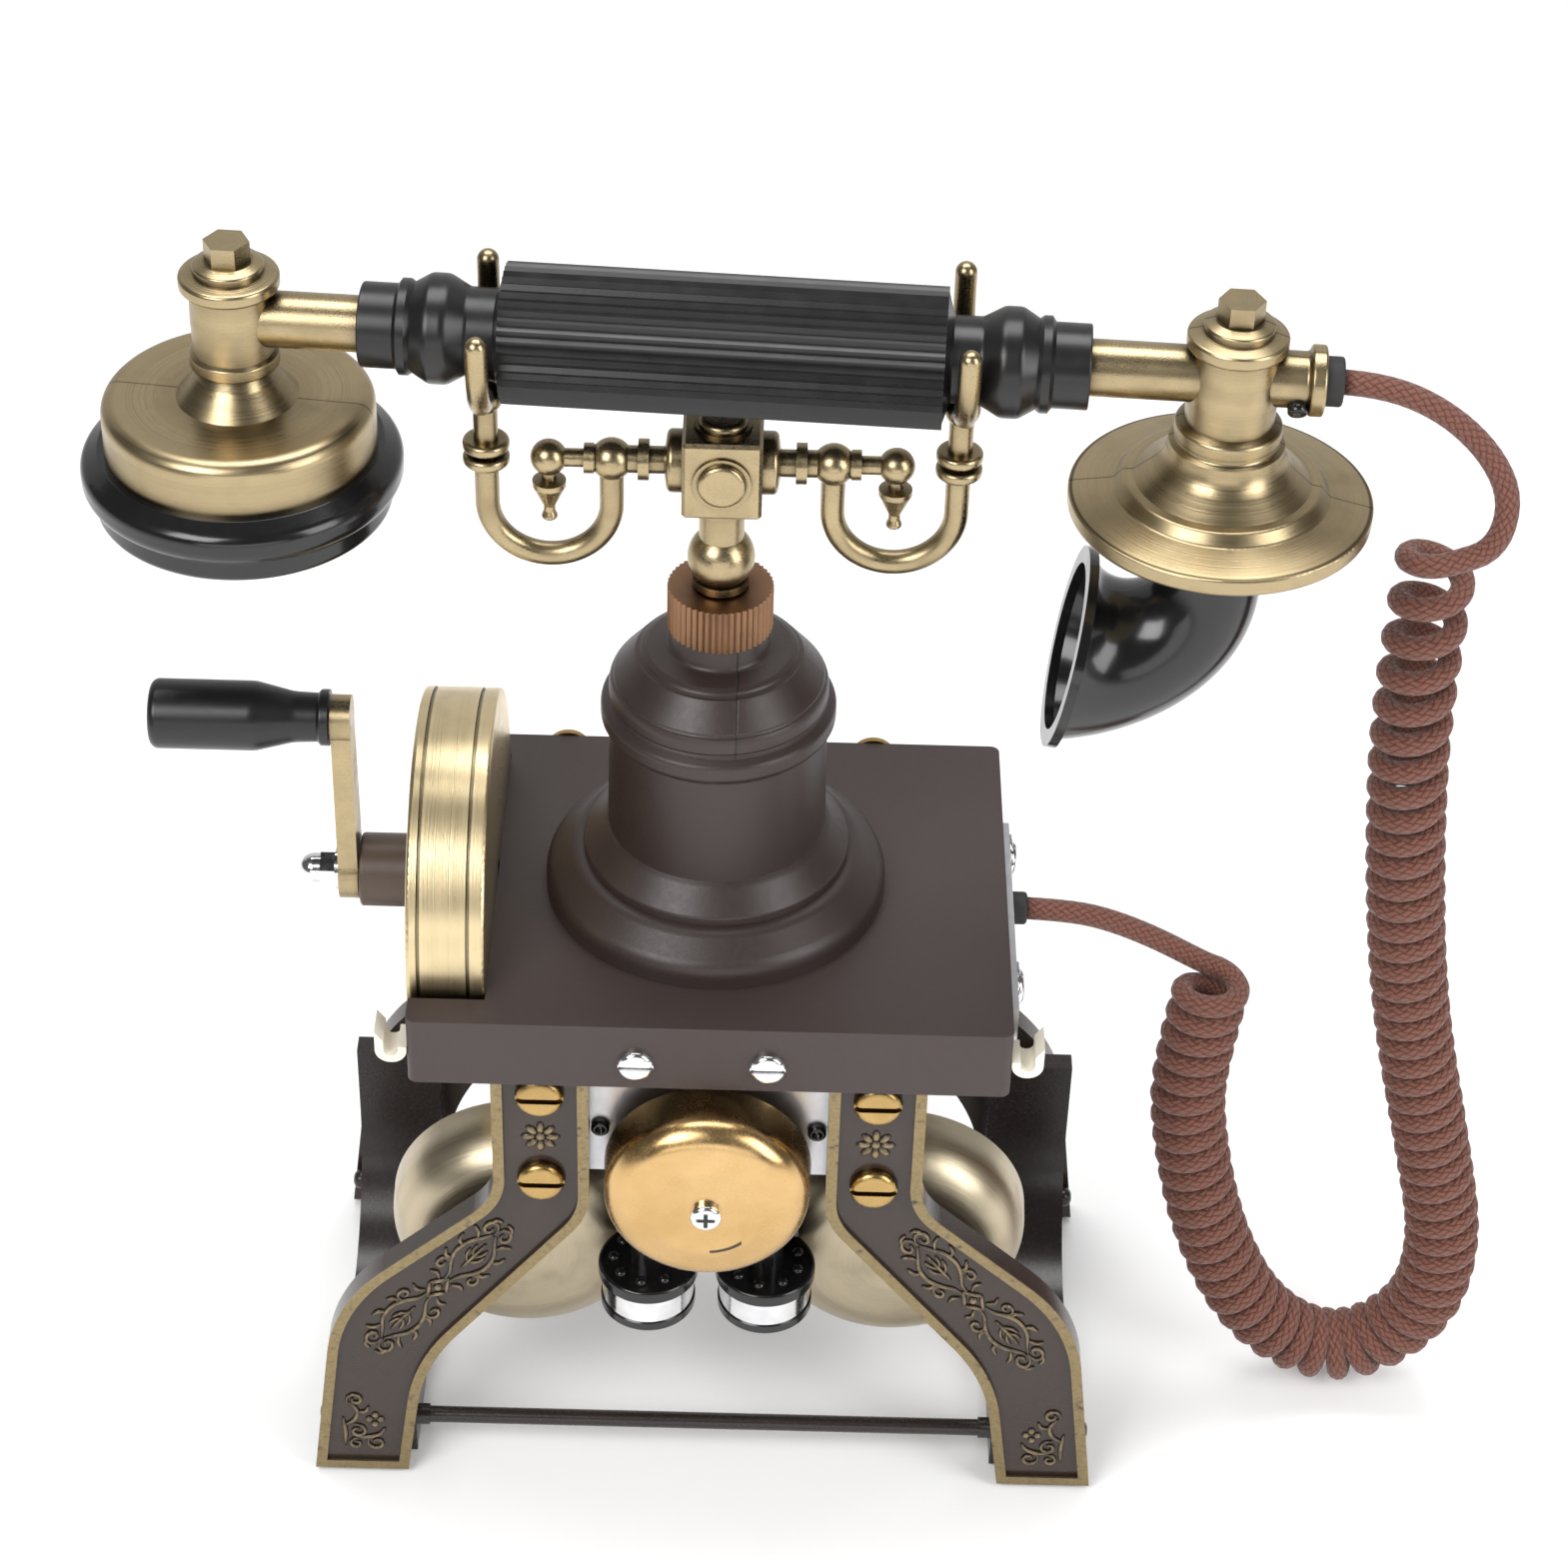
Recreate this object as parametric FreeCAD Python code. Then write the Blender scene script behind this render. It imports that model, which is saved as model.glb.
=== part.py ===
import FreeCAD, Part
import math
import os

V = FreeCAD.Vector

# Fits
FIT = 0.05            # radial running clearance of a shaft in its hole
SEAT_GAP = 0.35       # clearance between curved faces that rest on each other

# Feet and floor
PAD_T = 1.5
PAD_R = 6.0

# Top plate, a folded sheet tray
PLATE_TOP = 142.0
PLATE_W = 126.0
PLATE_D = 98.0
PLATE_LIP = 16.8
PLATE_SHEET = 2.0
NOTCH_WALL = 0.9

# Legs
LEG_T = 6.0
LEG_RIM = 2.4
LEG_RECESS = 1.0
LEG_BEHIND_LIP = 0.5
LEG_TOP_OUT = 46.0
LEG_TOP_IN = 25.4
LEG_FOOT_OUT = 88.9
LEG_FOOT_IN = 67.6
LEG_SCREW_X = 35.7
LEG_SCREW_Z = (119.5, 95.0)
LEG_SCREW_R = 5.2

# Side sills and stretchers
SILL_T = 5.0
SILL_IN = 66.0
SILL_OUT = 85.2
SILL_UP = 30.0
SILL_UP_REAR = 56.0
SILL_FILLET = 16.0
SILL_FILLET_REAR = 30.0
ROD_R = 1.9
ROD_FLANGE_R = 2.4
ROD_FLANGE_T = 3.0
ROD_Z = 11.0

# Pedestal, nut and cradle stem
PED_NECK_TOP = 68.0
NUT_R = 10.9
NUT_H = 10.0
STEM_R = 4.5
STEM_BELOW = 28.0
SPRING_H = 12.0
SPRING_R = 4.2
SPRING_WIRE = 1.6
HOOK_TRAVEL_GAP = 0.5

# Cradle
BALL_R = 6.9
BALL_Z = 85.0
BLOCK_W = 16.0
BLOCK_H = 17.5
BLOCK_BOTTOM = 99.0
HOOK_BALL_X = 22.1
FORK_IN = 4.0        # from the grip's end to the middle of a fork
HOOK_R = 2.45
HOOK_LOW_Z = 97.0
ARM_END_X = 34.6
PRONG_R = 2.2
PRONG_TOP = 145.0
FORK_R = 16.5
FORK_SEAT = 1.15     # under the middle of the neck; the skewed neck lies 0.3 mm from the bow

# Handset
HANDSET_Z = 134.7
HANDSET_SKEW = -3.5
TUBE_L = 25.7        # from a collar's end to the middle of the ear post
GRIP_R = 13.9
GRIP_HALF = 43.0
GRIP_FLUTES = 44
FLUTE_DEPTH = 0.7
NECK_R = 8.6
COLLAR_L = 28.0
TUBE_R = 5.6
POST_R = 8.2
SOCKET_DEPTH = 4.0
POST_TOP = 12.8
EAR_R = 32.3
EAR_DOME_R = 27.2
EAR_DOME_TOP = -17.6
EAR_DOME_LOW = -29.0
EAR_LOW = -43.5
MOUTH_R = 30.2
MOUTH_TOP = -12.6
MOUTH_LOW = -31.8
HORN_DROP = 13.6
HORN_BEND_R = 22.2
HORN_TURN = 100.0
HORN_RADII = (10.0, 11.4, 13.2, 15.6, 19.2)
HORN_LIP_R = 21.0
HORN_LIP_T = 2.0
HORN_WALL = 1.8
STUB_OUT = 17.5
GLAND_R = 4.9
GLAND_T = 3.5
HEX_R = 4.6
HEX_H = 4.2

# Wheel drum and crank, all on one X axis at the level of the plate
DRUM_R = 40.0
DRUM_W = 16.5
DRUM_GAP = 1.5
DRUM_GROOVE = 0.8
BOSS_R = 8.0
BOSS_L = 13.0
SHAFT_R = 3.0
ARM_T = 4.2
ARM_LEN = 41.0
ARM_HUB_R = 6.4
ARM_TIP_R = 5.0
GRIP_PIN_R = 2.0
HANDLE_L = 37.5
HANDLE_R = 7.4

# Ringer
GONG_R = 30.0
GONG_D = 18.0
GONG_WALL = 1.6
GONG_X = 42.0
GONG_Z = 54.0
GONG_RIM_Y = -10.0
FRONT_GONG_R = 22.2
FRONT_GONG_D = 15.0
FRONT_GONG_WALL = 1.4
FRONT_GONG_Z = 99.5
FRONT_GONG_RIM_Y = -45.0
GONG_SCREW_R = 3.4
GONG_SCREW_H = 2.0
GONG_HOLE_R = 1.7
POST_PIN_R = 3.0
COIL_X = 13.0
COIL_Y = -36.5
COIL_R = 11.1
COIL_TOP = 62.0
COIL_H = 12.0
COIL_FLANGE = 3.0
COIL_LIP = 2.0
COIL_CORE_R = 4.0
BASE_W = 40.0
BASE_LOW = 74.0
BASE_BACK = -27.0
CROSS_T = 2.0
CROSS_LOW = 93.0
CROSS_TOP = 128.0
CROSS_HALF = 44.5
HANGER_HALF = 6.0
HANGER_T = 3.0
HANGER_FRONT = -6.0
STRAP_H = 8.0
CLAPPER_Z = 93.0
CLAPPER_Y = -13.0
CLAPPER_T = 4.0
CLAPPER_PIN_R = 1.5
CLAPPER_EYE_R = 3.5
CLAPPER_ROD_R = 1.0
CLAPPER_BALL_R = 4.5

# Side fittings
LUG_Y = (-48.0, -40.8)
LUG_WALL = 1.8
LUG_R = 3.3
LUG_DROP = 8.9
BRACKET_T = 1.5
BRACKET_Y = (-38.0, 24.0)
BRACKET_Z = (-14.0, -2.0)
BRACKET_SCREW_Y = (19.0, -24.0)
CORD_EXIT_Y = 2.0
CORD_EXIT_DROP = 8.0
BASE_GLAND_R = 3.6
BASE_GLAND_T = 3.5
CHROME_R = 3.8
CHROME_T = 1.8
LIP_SCREW_X = (-15.3, 12.2)
REAR_SCREW_X = 34.6
REAR_SCREW_R = 5.2
REAR_SCREW_T = 2.6
REAR_SCREW_DROP = 4.5

# Curly cord
CORD_D = 5.0
CURL_R = 6.2
CURLS = 34

# Values worked out from the sizes above
HALF_W = PLATE_W / 2
HALF_D = PLATE_D / 2
UNDERSIDE = PLATE_TOP - PLATE_SHEET
LIP_LOW = PLATE_TOP - PLATE_LIP
LEG_FACE = HALF_D - PLATE_SHEET - LEG_BEHIND_LIP
LEG_BACK = LEG_FACE - LEG_T
ROD_Y = LEG_BACK - SILL_T / 2
DRUM_IN = -HALF_W - 0.5 + DRUM_W
DRUM_OUT = DRUM_IN - DRUM_W
BOSS_OUT = DRUM_OUT - BOSS_L
ARM_IN = BOSS_OUT - SEAT_GAP
ARM_OUT = ARM_IN - ARM_T
HANDLE_IN = ARM_OUT - SEAT_GAP
HANDLE_OUT = HANDLE_IN - HANDLE_L
AXIS_Z = PLATE_TOP + HANDSET_Z
COLLAR_END = GRIP_HALF + COLLAR_L
HALF_SPAN = COLLAR_END + TUBE_L + EAR_R
FORK_X = GRIP_HALF + FORK_IN
EAR_X = -(HALF_SPAN - EAR_R)
MOUTH_X = HALF_SPAN - MOUTH_R
FRONT_GONG_FACE = FRONT_GONG_RIM_Y - FRONT_GONG_D
GONG_FACE = GONG_RIM_Y - GONG_D
FORK_LOW = AXIS_Z - NECK_R - FORK_SEAT - PRONG_R
FRONT_Y = FRONT_GONG_FACE - GONG_SCREW_H
REAR_Y = HALF_D + REAR_SCREW_T
CENTRE_Y = (FRONT_Y + REAR_Y) / 2

X_AXIS = V(1, 0, 0)
Y_AXIS = V(0, 1, 0)
Z_AXIS = V(0, 0, 1)


def rounded_wire(points):
    """Closed wire in the XZ plane through (x, z) or (x, z, fillet radius) corners."""
    corners = [(V(p[0], 0, p[1]), p[2] if len(p) > 2 else 0.0) for p in points]
    ends = []
    count = len(corners)
    for i, (corner, radius) in enumerate(corners):
        if radius == 0.0:
            ends.append((corner, None, corner))
            continue
        to_last = (corners[i - 1][0] - corner).normalize()
        to_next = (corners[(i + 1) % count][0] - corner).normalize()
        half = to_last.getAngle(to_next) / 2
        bisector = (to_last + to_next).normalize()
        reach = radius / math.tan(half)
        middle = corner + bisector * (radius / math.sin(half) - radius)
        ends.append((corner + to_last * reach, middle, corner + to_next * reach))
    edges = []
    for i, (start, middle, end) in enumerate(ends):
        if middle is not None:
            edges.append(Part.Arc(start, middle, end).toShape())
        following = ends[(i + 1) % count][0]
        if (following - end).Length > 1e-6:
            edges.append(Part.LineSegment(end, following).toShape())
    return Part.Wire(edges)


def turned(points):
    """Solid of revolution about Z from (radius, height) corners."""
    return Part.Face(rounded_wire(points)).revolve(V(0, 0, 0), Z_AXIS, 360)


def prism(points, y_from, y_to):
    """Outline in the XZ plane, run from one Y to another."""
    solid = Part.Face(rounded_wire(points)).extrude(V(0, y_to - y_from, 0))
    return moved(solid, 0, y_from, 0)


def moved(shape, x, y, z):
    copy = shape.copy()
    copy.translate(V(x, y, z))
    return copy


def along(shape, axis):
    """Copy of a shape made on +Z, turned so that +Z points along axis."""
    copy = shape.copy()
    copy.Placement = FreeCAD.Placement(V(0, 0, 0), FreeCAD.Rotation(Z_AXIS, axis)).multiply(copy.Placement)
    return copy


def rod(radius, start, end):
    return Part.makeCylinder(radius, (end - start).Length, start, end - start)


def box(x, y, z):
    """Box between (low, high) pairs."""
    return Part.makeBox(x[1] - x[0], y[1] - y[0], z[1] - z[0], V(x[0], y[0], z[0]))


def ball(radius, x, y, z):
    return Part.makeSphere(radius, V(x, y, z))


def mirror_x(shape):
    return shape.mirror(V(0, 0, 0), X_AXIS)


def mirror_y(shape):
    return shape.mirror(V(0, 0, 0), Y_AXIS)


def fluted(radius, depth, count, length):
    """Straight-fluted bar on +Z."""
    step = math.pi / count
    points = []
    for i in range(2 * count):
        r = radius if i % 2 == 0 else radius - depth
        points.append(V(r * math.cos(i * step), r * math.sin(i * step), 0))
    return Part.Face(Part.makePolygon(points + points[:1])).extrude(V(0, 0, length))


def screw_head(radius, height):
    """Round slotted head on +Z."""
    head = turned([(0, 0), (radius, 0), (radius, height, height * 0.7), (0, height)])
    slot = box((-radius - 1, radius + 1), (-radius * 0.13, radius * 0.13), (height * 0.55, height + 1))
    return head.cut(slot)


def pan_head(radius, height):
    return turned([(0, 0), (radius, 0), (radius, height, height * 0.6), (0, height)])


def hexagon(radius, height):
    points = [V(radius * math.cos(i * math.pi / 3), radius * math.sin(i * math.pi / 3), 0) for i in range(7)]
    return Part.Face(Part.makePolygon(points)).extrude(V(0, 0, height))


def save(node, *solids):
    shapes = [moved(s, 0, -CENTRE_Y, 0) for s in solids]
    shape = shapes[0] if len(shapes) == 1 else Part.makeCompound(shapes)
    bad = [s for s in shape.Solids if not s.isValid() or s.Volume <= 0]
    if bad or not shape.Solids:
        print("check", node, len(shape.Solids), len(bad))
    shape.exportStep(os.path.join("parts", node + ".step"))


# The base
def top_plate():
    outer = box((-HALF_W, HALF_W), (-HALF_D, HALF_D), (LIP_LOW, PLATE_TOP))
    upright = [e for e in outer.Edges if abs(e.tangentAt(e.FirstParameter).z) > 0.9]
    outer = outer.makeFillet(PLATE_SHEET, upright)
    notch_y = DRUM_R + DRUM_GAP
    notch = box((-HALF_W - 1, DRUM_IN), (-notch_y, notch_y), (0, PLATE_TOP + 1))
    wall = PLATE_SHEET
    inner = DRUM_IN + NOTCH_WALL
    room = box((inner, HALF_W - wall), (-HALF_D + wall, HALF_D - wall), (0, UNDERSIDE))
    ends = []
    for side in (-1, 1):
        y = sorted((side * (notch_y + NOTCH_WALL), side * (HALF_D - wall)))
        ends.append(box((-HALF_W + wall, inner + 1), y, (0, UNDERSIDE)))
    return outer.cut(notch).cut(room).cut(ends[0]).cut(ends[1])


def pedestal():
    profile = [
        (0, 0), (36.5, 0), (36.5, 5, 4.5), (30.2, 10.5, 4), (28.4, 10.5), (28.4, 12.4, 1),
        (24.2, 17.4, 4), (23.2, 18.2), (22.8, 44, 0.6), (24.6, 45.5, 1.4), (24.6, 49, 1.4),
        (22.9, 50.2), (22.9, 54.5, 3.5), (17.2, 61.4, 3), (15, 62.6, 0.8),
        (10.6, 63.4, 1.2), (9.6, PED_NECK_TOP), (0, PED_NECK_TOP),
    ]
    bore = Part.makeCylinder(STEM_R + FIT, PED_NECK_TOP, V(0, 0, STEM_BELOW))
    return moved(turned(profile).cut(bore), 0, 0, PLATE_TOP)


def knurled_nut():
    bore = Part.makeCylinder(STEM_R + FIT, NUT_H + 2, V(0, 0, -1))
    nut = fluted(NUT_R, 0.5, 48, NUT_H).cut(bore)
    return moved(nut, 0, 0, PLATE_TOP + PED_NECK_TOP)


LEG_OUTLINE = [
    (LEG_TOP_OUT, UNDERSIDE), (LEG_TOP_OUT, 88.8, 14), (82.6, 55.1, 42), (LEG_FOOT_OUT, PAD_T),
    (LEG_FOOT_IN, PAD_T), (63, 36.2, 45), (LEG_TOP_IN, 84.5, 18), (LEG_TOP_IN, UNDERSIDE),
]


def leg():
    """Right front leg: a flat bar with a raised rim round its face."""
    bar = prism(LEG_OUTLINE, -LEG_FACE, -LEG_BACK)
    field = Part.Face(rounded_wire(LEG_OUTLINE)).makeOffset2D(-LEG_RIM)
    pocket = moved(field.extrude(V(0, LEG_RECESS + 1, 0)), 0, -LEG_FACE - 1, 0)
    return bar.cut(pocket)


def leg_screws():
    heads = []
    head = along(screw_head(LEG_SCREW_R, 2.6), -Y_AXIS)
    for x in (-LEG_SCREW_X, LEG_SCREW_X):
        for z in LEG_SCREW_Z:
            front = moved(head, x, -LEG_FACE + LEG_RECESS, z)
            heads += [front, mirror_y(front)]
    return heads


def side_sill():
    """Right sill: a bar bent up behind the front and the rear foot."""
    inside = LEG_BACK - SILL_T
    floor = PAD_T + SILL_T
    outline = [
        (-LEG_BACK, PAD_T), (LEG_BACK, PAD_T), (LEG_BACK, SILL_UP), (inside, SILL_UP),
        (inside, floor, SILL_FILLET), (-inside, floor, SILL_FILLET_REAR),
        (-inside, SILL_UP_REAR), (-LEG_BACK, SILL_UP_REAR),
    ]
    bar = prism(outline, SILL_IN, SILL_OUT)
    bar.rotate(V(0, 0, 0), Z_AXIS, -90)
    return bar


def stretcher(y):
    inner = SILL_IN - ROD_FLANGE_T
    bar = rod(ROD_R, V(-inner, y, ROD_Z), V(inner, y, ROD_Z))
    for side in (-1, 1):
        bar = bar.fuse(rod(ROD_FLANGE_R, V(side * inner, y, ROD_Z), V(side * SILL_IN, y, ROD_Z)))
    return bar.removeSplitter()


def stretcher_nuts():
    nut = along(pan_head(ROD_FLANGE_R, ROD_FLANGE_T), X_AXIS)
    right = [moved(nut, SILL_OUT, y, ROD_Z) for y in (-ROD_Y, ROD_Y)]
    return right + [mirror_x(n) for n in right]


def foot_pads():
    x = (SILL_IN + SILL_OUT) / 2
    y = LEG_BACK - PAD_R
    return [Part.makeCylinder(PAD_R, PAD_T, V(sx * x, sy * y, 0)) for sx in (-1, 1) for sy in (-1, 1)]


# The ringer
def bell(radius, depth, wall, corner, crown):
    """Bell with its rim at Z 0 and its crown at Z depth."""
    return turned([
        (radius, 0), (radius - 0.5, depth - 2, corner), (crown, depth, crown / 2), (GONG_HOLE_R, depth),
        (GONG_HOLE_R, depth - wall), (crown, depth - wall, crown / 2),
        (radius - 0.5 - wall, depth - 2 - wall, corner - wall), (radius - wall, 0),
    ])


def gong(x):
    return moved(along(bell(GONG_R, GONG_D, GONG_WALL, 13, 9), -Y_AXIS), x, GONG_RIM_Y, GONG_Z)


def front_gong():
    shell = bell(FRONT_GONG_R, FRONT_GONG_D, FRONT_GONG_WALL, 6, 12)
    return moved(along(shell, -Y_AXIS), 0, FRONT_GONG_RIM_Y, FRONT_GONG_Z)


def gong_screws():
    head = along(pan_head(GONG_SCREW_R, GONG_SCREW_H), -Y_AXIS)
    places = [(-GONG_X, GONG_FACE, GONG_Z), (GONG_X, GONG_FACE, GONG_Z), (0, FRONT_GONG_FACE, FRONT_GONG_Z)]
    return [moved(head, *place) for place in places]


def front_gong_post():
    front = FRONT_GONG_FACE + FRONT_GONG_WALL
    return rod(POST_PIN_R, V(0, -LEG_BACK, FRONT_GONG_Z), V(0, front, FRONT_GONG_Z))


def gong_bracket():
    """Hanger under the plate with a cross strap and one post for each gong."""
    y = (HANGER_FRONT, HANGER_FRONT + HANGER_T)
    bar = box((-HANGER_HALF, HANGER_HALF), y, (GONG_Z - STRAP_H / 2, UNDERSIDE))
    reach = GONG_X + STRAP_H / 2
    bar = bar.fuse(box((-reach, reach), y, (GONG_Z - STRAP_H / 2, GONG_Z + STRAP_H / 2)))
    for x in (-GONG_X, GONG_X):
        end = V(x, GONG_FACE + GONG_WALL, GONG_Z)
        bar = bar.fuse(rod(POST_PIN_R, V(x, HANGER_FRONT, GONG_Z), end))
    return bar.removeSplitter()


def clapper_pin():
    head_y = CLAPPER_Y - CLAPPER_T / 2 - SEAT_GAP
    pin = rod(CLAPPER_PIN_R, V(0, HANGER_FRONT, CLAPPER_Z), V(0, head_y, CLAPPER_Z))
    head = rod(2 * CLAPPER_PIN_R, V(0, head_y, CLAPPER_Z), V(0, head_y - 1.5, CLAPPER_Z))
    return pin.fuse(head).removeSplitter()


def clapper():
    half = CLAPPER_T / 2
    eye = rod(CLAPPER_EYE_R, V(0, CLAPPER_Y - half, CLAPPER_Z), V(0, CLAPPER_Y + half, CLAPPER_Z))
    arm = rod(CLAPPER_ROD_R, V(0, CLAPPER_Y, CLAPPER_Z), V(0, CLAPPER_Y, GONG_Z))
    hole = rod(CLAPPER_PIN_R + FIT, V(0, CLAPPER_Y - half, CLAPPER_Z), V(0, CLAPPER_Y + half, CLAPPER_Z))
    return eye.fuse(arm).fuse(ball(CLAPPER_BALL_R, 0, CLAPPER_Y, GONG_Z)).cut(hole)


def cross_plate():
    return box((-CROSS_HALF, CROSS_HALF), (-LEG_BACK, -LEG_BACK + CROSS_T), (CROSS_LOW, CROSS_TOP))


def ringer_base():
    return box((-BASE_W / 2, BASE_W / 2), (-LEG_BACK, BASE_BACK), (BASE_LOW, CROSS_LOW))


def coil_bobbin(x):
    low = COIL_TOP - COIL_H
    waist = COIL_R - 2.5
    profile = [
        (0, 0), (COIL_R - 0.6, 0), (COIL_R - 0.6, COIL_LIP), (waist, COIL_LIP),
        (waist, COIL_H - COIL_FLANGE),
        (COIL_R, COIL_H - COIL_FLANGE), (COIL_R, COIL_H, 0.8), (COIL_CORE_R, COIL_H),
        (COIL_CORE_R, BASE_LOW - low), (0, BASE_LOW - low),
    ]
    return moved(turned(profile), x, COIL_Y, low)


def coil_band(x):
    low = COIL_TOP - COIL_H + COIL_LIP
    height = COIL_H - COIL_LIP - COIL_FLANGE
    waist = COIL_R - 2.5
    band = Part.makeCylinder(COIL_R - 0.9, height).cut(Part.makeCylinder(waist, height))
    return moved(band, x, COIL_Y, low)


# Side fittings
def side_lug():
    """Right lug: a moulded channel on the plate's side."""
    x0 = HALF_W
    low = PLATE_TOP - LUG_DROP
    outer = x0 + 2 * LUG_R
    bottom = low - LUG_R
    outline = [
        (x0, PLATE_TOP - 8), (x0, bottom, LUG_R - 0.1), (outer, bottom, LUG_R - 0.1),
        (outer, PLATE_TOP - 4),
        (outer - LUG_WALL, PLATE_TOP - 6.5),
        (outer - LUG_WALL, bottom + LUG_WALL, LUG_R - LUG_WALL - 0.1),
        (x0 + LUG_WALL, bottom + LUG_WALL, LUG_R - LUG_WALL - 0.1), (x0 + LUG_WALL, PLATE_TOP - 8),
    ]
    return prism(outline, *LUG_Y)


def cord_bracket():
    z = (PLATE_TOP + BRACKET_Z[0], PLATE_TOP + BRACKET_Z[1])
    return box((HALF_W, HALF_W + BRACKET_T), BRACKET_Y, z)


def chrome_screws():
    front = along(screw_head(CHROME_R, CHROME_T), -Y_AXIS)
    heads = [moved(front, x, -HALF_D, PLATE_TOP - 10) for x in LIP_SCREW_X]
    side = along(screw_head(CHROME_R, CHROME_T), X_AXIS)
    return heads + [moved(side, HALF_W + BRACKET_T, y, PLATE_TOP - CORD_EXIT_DROP) for y in BRACKET_SCREW_Y]


def rear_lip_screws():
    head = along(screw_head(REAR_SCREW_R, REAR_SCREW_T), Y_AXIS)
    return [moved(head, x, HALF_D, PLATE_TOP - REAR_SCREW_DROP) for x in (-REAR_SCREW_X, REAR_SCREW_X)]


def base_gland():
    shape = turned([(0, 0), (BASE_GLAND_R, 0), (BASE_GLAND_R, BASE_GLAND_T, 0.8), (0, BASE_GLAND_T)])
    return moved(along(shape, X_AXIS), HALF_W + BRACKET_T, CORD_EXIT_Y, PLATE_TOP - CORD_EXIT_DROP)


# Wheel drum and crank
def on_crank_axis(shape, x):
    """Shape made on +Z, laid along -X from x on the crank's axis."""
    return moved(along(shape, -X_AXIS), x, 0, PLATE_TOP)


def wheel_drum():
    g = DRUM_GROOVE
    low = DRUM_R - g
    rim = [(DRUM_R, 0, 0.8)]
    for middle in (3.6, DRUM_W - 2.6):
        rim += [(DRUM_R, middle - g / 2), (low, middle - g / 2)]
        rim += [(low, middle + g / 2), (DRUM_R, middle + g / 2)]
    rim += [(DRUM_R, DRUM_W, 0.8)]
    bore = SHAFT_R + FIT
    return on_crank_axis(turned([(bore, 0)] + rim + [(bore, DRUM_W)]), DRUM_IN)


def crank_boss():
    bore = SHAFT_R + FIT
    return on_crank_axis(turned([(bore, 0), (BOSS_R, 0), (BOSS_R, BOSS_L, 0.6), (bore, BOSS_L)]), DRUM_OUT)


def crank_shaft():
    return rod(SHAFT_R, V(ARM_OUT, 0, PLATE_TOP), V(DRUM_IN - SEAT_GAP, 0, PLATE_TOP))


def crank_arm():
    """Flat arm: two round eyes joined by a tapered bar."""
    hub = Part.makeCylinder(ARM_HUB_R, ARM_T)
    tip = Part.makeCylinder(ARM_TIP_R, ARM_T, V(ARM_LEN, 0, 0))
    corners = [
        V(0, -ARM_HUB_R * 0.8, 0), V(ARM_LEN, -ARM_TIP_R * 0.8, 0),
        V(ARM_LEN, ARM_TIP_R * 0.8, 0), V(0, ARM_HUB_R * 0.8, 0),
    ]
    bar = Part.Face(Part.makePolygon(corners + corners[:1])).extrude(V(0, 0, ARM_T))
    arm = hub.fuse(tip).fuse(bar).removeSplitter()
    arm = arm.cut(Part.makeCylinder(SHAFT_R + FIT, ARM_T))
    arm = arm.cut(Part.makeCylinder(GRIP_PIN_R + FIT, ARM_T, V(ARM_LEN, 0, 0)))
    arm.rotate(V(0, 0, 0), Y_AXIS, -90)
    return moved(arm, ARM_IN, 0, PLATE_TOP)


def crank_nut():
    washer = Part.makeCylinder(4.8, 1)
    nut = washer.fuse(moved(hexagon(4.4, 3.2), 0, 0, 1))
    dome = turned([(0, 4.2), (3.3, 4.2), (3.3, 9, 3.2), (0, 9)])
    return on_crank_axis(nut.fuse(dome).removeSplitter(), ARM_OUT)


def grip_pin():
    z = PLATE_TOP + ARM_LEN
    return rod(GRIP_PIN_R, V(ARM_IN, 0, z), V(HANDLE_OUT + 5, 0, z))


def crank_grip():
    bore = GRIP_PIN_R + FIT
    depth = HANDLE_L - 5 + SEAT_GAP
    profile = [
        (bore, 0), (6, 0), (6, 1.8, 0.6), (5.2, 2.4), (5.4, 7.5, 10), (HANDLE_R, 15.5, 8),
        (HANDLE_R, HANDLE_L, 1.8), (0, HANDLE_L), (0, depth), (bore, depth),
    ]
    return moved(on_crank_axis(turned(profile), HANDLE_IN), 0, 0, ARM_LEN)


# The cradle
def cradle_stem():
    low = STEM_BELOW + SPRING_H
    nut_top = PED_NECK_TOP + NUT_H
    stem = Part.makeCylinder(STEM_R, BALL_Z - low, V(0, 0, low))
    collar = Part.makeCylinder(5.8, 1.8, V(0, 0, nut_top + HOOK_TRAVEL_GAP))
    neck = Part.makeCylinder(4.6, BLOCK_BOTTOM - BALL_Z, V(0, 0, BALL_Z))
    seat = Part.makeCylinder(6.2, 1.6, V(0, 0, BLOCK_BOTTOM - 1.6))
    shape = stem.fuse([collar, neck, seat, ball(BALL_R, 0, 0, BALL_Z)])
    return moved(shape, 0, 0, PLATE_TOP)


def hook_spring():
    tube = Part.makeCylinder(SPRING_R, SPRING_H).cut(Part.makeCylinder(SPRING_R - SPRING_WIRE, SPRING_H))
    return moved(tube, 0, 0, PLATE_TOP + STEM_BELOW)


def cradle_block():
    half = BLOCK_W / 2
    cube = box((-half, half), (-half, half), (0, BLOCK_H))
    cube = cube.makeChamfer(0.7, cube.Edges)
    stud = turned([(0, -1), (5.8, -1), (5.8, 0.6), (4.9, 0.6), (4.9, 2, 1.2), (0, 2)])
    faces = [moved(stud, 0, 0, BLOCK_H)]
    for axis in (Y_AXIS, -Y_AXIS):
        faces.append(moved(along(stud, axis), 0, axis.y * half, BLOCK_H / 2))
    return moved(cube.fuse(faces), 0, 0, PLATE_TOP + BLOCK_BOTTOM)


ARM_Z = PLATE_TOP + BLOCK_BOTTOM + BLOCK_H / 2


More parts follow.
